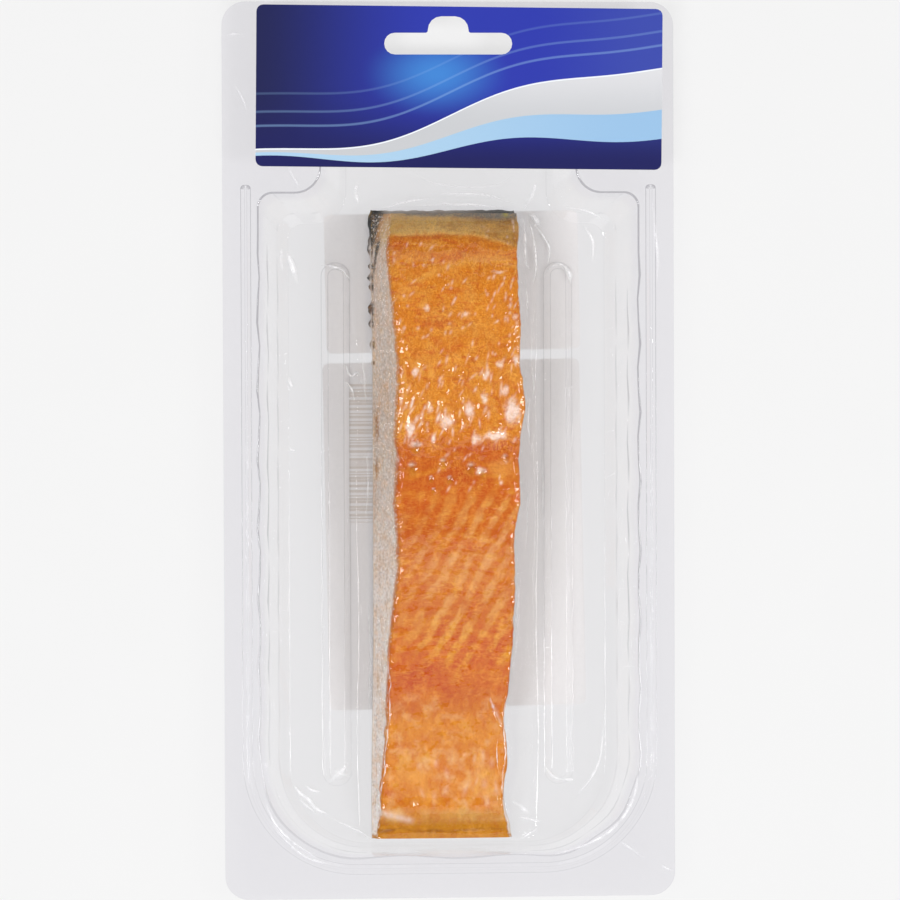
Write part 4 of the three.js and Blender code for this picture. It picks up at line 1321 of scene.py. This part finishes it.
def flesh_material():
    """Smoked flesh: painted tones with mottling, grain and, on the lower half, fine cross fibres."""
    nodes = Nodes("smoked_flesh")
    tone = nodes.vertex_colour("tone")
    grain = nodes.noise(1700, 3, (1, 0.7, 0.4))
    mottle = nodes.noise(480, 4, (1, 0.6, 0.3), 0.6)
    deep = nodes.tinted(tone, DEEP_TINT)
    rich = nodes.tinted(tone, RICH_TINT)
    pale = nodes.mix(0.28, tone, GOLDEN)
    vein = nodes.mix(0.6, tone, VEIN)
    along = nodes.axes()[1]
    lower_half = nodes.steps(along, 2 * MM, -10 * MM)
    patchy = nodes.scaled(nodes.steps(nodes.noise(190, 3), 0.42, 0.6), 0.6, 0.4)
    colour = nodes.cover(tone, rich, nodes.steps(mottle, 0.5, 0.32), 0.6)
    colour = nodes.cover(colour, pale, nodes.steps(mottle, 0.52, 0.68), 0.65)
    fine = nodes.scaled(lower_half, -0.25, 0.4)
    for noise in (grain, nodes.noise(3300, 2, (1, 0.8, 0.4))):
        colour = nodes.cover(colour, deep, nodes.steps(noise, 0.48, 0.37), fine)
        colour = nodes.cover(colour, pale, nodes.steps(noise, 0.54, 0.65), fine)
    veins = nodes.lines(nodes.noise(560, 5, (1.1, 0.7, 0.4), 1.2), 0.03)
    clefts = nodes.lines(nodes.noise(400, 5, (0.5, 1.3, 0.4), 1.2), 0.026)
    veined = nodes.times(patchy, nodes.scaled(lower_half, -0.65, 1.0))
    colour = nodes.cover(colour, vein, veins, veined, 0.5)
    colour = nodes.cover(colour, deep, clefts, veined, 0.55)
    strands = nodes.noise(1700, 3, (0.32, 1, 0.3), 1.2)
    crossed = nodes.times(lower_half, patchy, nodes.steps(along, -66 * MM, -55 * MM))
    colour = nodes.cover(colour, vein, nodes.steps(strands, 0.5, 0.62), crossed, 0.26)
    colour = nodes.cover(colour, rich, nodes.steps(strands, 0.47, 0.36), crossed, 0.34)
    on_side = nodes.steps(nodes.math("ABSOLUTE", nodes.axes("Normal")[0]), 0.6, 0.9)
    flecks = nodes.noise(1500, 3, (1, 1, 0.5))
    # Light flecks on the side, partly painted film glints
    colour = nodes.cover(colour, LIGHT_FLECK_AND_GLINT, nodes.steps(flecks, 0.54, 0.64), on_side, 0.5)
    colour = nodes.cover(colour, DARK_FLECK, nodes.steps(flecks, 0.46, 0.36), on_side, 0.4)
    height = nodes.plus(mottle, nodes.times(grain, 0.4))
    return nodes.finish("BsdfPrincipled", {
        "Base Color": colour, "Roughness": nodes.scaled(grain, 0.25, 0.36),
        "Normal": nodes.bumps(0.5, 0.0005, height), "Specular IOR Level": 0.05,
        "Subsurface Weight": 0.12, "Subsurface Radius": (1.0, 0.35, 0.15), "Subsurface Scale": 0.001})


def skin_material():
    """The skin's painted tones, with faint scales."""
    nodes = Nodes("fish_skin")
    tone = nodes.vertex_colour("tone")
    scales = nodes.noise(420, 4)
    colour = nodes.mix(nodes.steps(scales, 0.4, 0.7), tone, nodes.mix(0.04, tone, SCALE_EDGE))
    return nodes.finish("BsdfPrincipled", {
        "Base Color": colour, "Roughness": 0.5, "Normal": nodes.bumps(0.6, 0.0005, scales),
        "Specular IOR Level": 0.2})


def header_material():
    """A plain print: a navy to blue field with a glow, and silver and pale blue waves across it."""
    nodes = Nodes("header_print")
    colour = header_waves(nodes, header_field(nodes))
    fibre = nodes.noise(1200, 4)
    paper = nodes.mix(fibre, (0.76, 0.75, 0.74, 1), (0.84, 0.83, 0.82, 1))
    colour = nodes.mix(nodes.steps(nodes.axes("Normal")[2], -0.6, -0.2), paper, colour)
    return nodes.finish("BsdfPrincipled", {
        "Base Color": colour, "Roughness": nodes.scaled(fibre, 0.1, 0.3), "Specular IOR Level": 0.2})


def header_field(nodes):
    """Navy at the left and at the foot, blue towards the right, with a glow under the slot."""
    x, y = nodes.millimetres()
    field = nodes.mix(nodes.steps(x, -50, 0), NAVY, BLUE)
    field = nodes.mix(nodes.steps(x, 20, 52), field, RIGHT_BLUE)
    field = nodes.mix(nodes.steps(y, 92, 71), field, FOOT_NAVY)
    away = nodes.math("SQRT", nodes.plus(squared(nodes, x, -3, 15), squared(nodes, y, 94, 9)))
    return nodes.cover(field, FIELD_GLOW, nodes.steps(away, 1.3, 0.0), 0.55)


def header_waves(nodes, field):
    """Three bands that widen to the right, pale blue, silver and white, with thin lines over them."""
    x, y = nodes.millimetres()
    along = nodes.steps(x, -46, 56)
    ripple = nodes.times(nodes.math("SINE", nodes.times(x, 0.105)), 1.5)
    pale_foot = nodes.plus(nodes.scaled(along, 6.5, 72.2), ripple)
    silver_foot = nodes.plus(pale_foot, nodes.scaled(along, 6.5, 0.8))
    silver_top = nodes.plus(silver_foot, nodes.scaled(along, 9.5, 0.6))
    sheen = nodes.mix(nodes.steps(x, -20, 50), (0.34, 0.51, 0.67, 1), (0.26, 0.43, 0.63, 1))
    silver = nodes.mix(nodes.steps(y, 80, 98), (0.47, 0.48, 0.5, 1), (0.6, 0.6, 0.62, 1))
    colour = field
    edges = (pale_foot, silver_foot, silver_top, nodes.plus(silver_top, 0.35))
    for edge, band in zip(edges, (sheen, silver, WAVE_CREST, field)):
        above = nodes.steps(nodes.math("SUBTRACT", y, edge), -0.05, 0.05)
        colour = nodes.mix(above, colour, band)
    for lift, strength in ((6, 0.3), (9.5, 0.2), (14, 0.12)):
        line = nodes.math("ABSOLUTE", nodes.math("SUBTRACT", nodes.plus(silver_top, lift), y))
        colour = nodes.cover(colour, WAVE_LINE, nodes.steps(line, 0.45, 0.1), strength)
    return colour


def squared(nodes, value, middle, size):
    """The square of how many sizes a value lies from a middle."""
    return nodes.math("POWER", nodes.math("ABSOLUTE", nodes.scaled(value, 1 / size, -middle / size)), 2.0)


def label_material(name, tone, barred):
    """Off-white paper; the lower label has a faint field of uneven printed bars."""
    nodes = Nodes(name)
    dark, light = ((level, level * 0.985, level * 0.97, 1) for level in (tone - 0.04, tone + 0.04))
    colour = nodes.mix(nodes.noise(1200, 4), dark, light)
    if barred:
        bars = nodes.steps(nodes.noise(1500, 0, (0, 1, 0)), 0.46, 0.54)
        x, y = (between(nodes, value, limits) for value, limits in zip(nodes.millimetres(), BAR_FIELD))
        colour = nodes.cover(colour, BAR_INK, bars, nodes.times(x, y), 0.55)
    return nodes.finish("BsdfPrincipled", {"Base Color": colour, "Roughness": 0.7})


def between(nodes, value, limits):
    """1 between two limits, with soft borders."""
    low, high = limits
    over_low = nodes.steps(value, low - 0.1, low + 0.1)
    under_high = nodes.steps(value, high + 0.1, high - 0.1)
    return nodes.times(over_low, under_high)


def dress_labels():
    """The labels are shown as the model has them, each with its own paper."""
    looks = {
        "header_label": header_material(),
        "back_label_upper": label_material("upper_label_paper", 0.79, False),
        "back_label_lower": label_material("lower_label_paper", 0.74, True),
    }
    for node, material in looks.items():
        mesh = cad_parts[node].data
        mesh.materials.clear()
        mesh.materials.append(material)


# Studio

FLOOR_HALF = 1500
FLOOR_TOP = -0.02
# The camera: focal length in pixels of the photograph, and the photograph's width in pixels
FOCAL_PIXELS = 5202
PHOTO_PIXELS = 900
SENSOR_WIDTH = 36
CAMERA_TARGET = (0.12, 0.14, 9.0)
CAMERA_DISTANCE = 1.3
# How far, in degrees, the camera leans to -X and to +Y, and how it is turned about its own axis
CAMERA_LEAN_LEFT = 4.5
CAMERA_LEAN_BACK = 1.5
CAMERA_ROLL = -0.2
# Lights that aim at the pack's middle: name, place, size and power
LIGHTS = [
    ("key", (-0.52, -0.15, 1.0), (0.22, 0.4), 5.0),
    ("fill", (0.74, -0.15, 1.0), (0.28, 0.4), 6.4),
    ("front", (0.05, -0.85, 0.94), (1.6, 0.8), 4.0),
    ("back", (0, 1.15, 0.95), (2.0, 0.6), 3.0),
]


def make_floor():
    """A plain pale floor that glows softly, as a light table does, so that shadows stay faint."""
    nodes = Nodes("studio_floor")
    tone = nodes.mix(nodes.noise(30, 2), (0.2, 0.2, 0.2, 1), (0.21, 0.21, 0.21, 1))
    look = nodes.finish("BsdfPrincipled", {
        "Base Color": tone, "Roughness": 0.8, "Specular IOR Level": 0.0,
        "Emission Color": (1, 1, 1, 1), "Emission Strength": 0.64})
    corners = [(x * FLOOR_HALF, y * FLOOR_HALF, FLOOR_TOP)
               for x, y in ((-1, -1), (1, -1), (1, 1), (-1, 1))]
    floor = make_object("studio_floor", corners, [[0, 1, 2, 3]], look, smooth=False)


def make_camera():
    """The photograph's camera: nearly overhead, a little towards -X and +Y of the middle."""
    data = bpy.data.cameras.new("camera")
    data.sensor_width = SENSOR_WIDTH
    data.lens = FOCAL_PIXELS / PHOTO_PIXELS * SENSOR_WIDTH
    data.clip_end = 10
    camera = bpy.data.objects.new("camera", data)
    bpy.context.scene.collection.objects.link(camera)
    lean_left, lean_back = math.radians(CAMERA_LEAN_LEFT), math.radians(CAMERA_LEAN_BACK)
    back = Vector((-math.sin(lean_left), math.sin(lean_back), 1)).normalized()
    right = Vector((0, 1, 0)).cross(back).normalized()
    roll = Matrix.Rotation(math.radians(CAMERA_ROLL), 4, "Z")
    turn = Matrix((right, back.cross(right), back)).transposed().to_4x4() @ roll
    place = Vector(CAMERA_TARGET) * MM + back * CAMERA_DISTANCE
    camera.matrix_world = Matrix.Translation(place) @ turn
    bpy.context.scene.camera = camera


def make_light(name, place, size, power):
    """A rectangular area light that aims at the pack's middle."""
    data = bpy.data.lights.new(name, "AREA")
    data.shape = "RECTANGLE"
    data.size, data.size_y = size
    data.energy = power
    light = bpy.data.objects.new(name, data)
    bpy.context.scene.collection.objects.link(light)
    light.location = place
    light.rotation_euler = (Vector() - Vector(place)).to_track_quat("-Z", "Y").to_euler()


def make_studio():
    """An even white world, four large lights and plain colours."""
    world = bpy.data.worlds.new("studio")
    world.use_nodes = True
    background = world.node_tree.nodes["Background"]
    background.inputs["Color"].default_value = (1, 1, 1, 1)
    background.inputs["Strength"].default_value = 0.5
    bpy.context.scene.world = world
    for name, place, size, power in LIGHTS:
        make_light(name, place, size, power)
    bpy.context.scene.view_settings.view_transform = "Standard"


make_camera()
make_floor()
make_studio()
make_flesh()
make_skin()
make_tray()
make_film()
dress_labels()
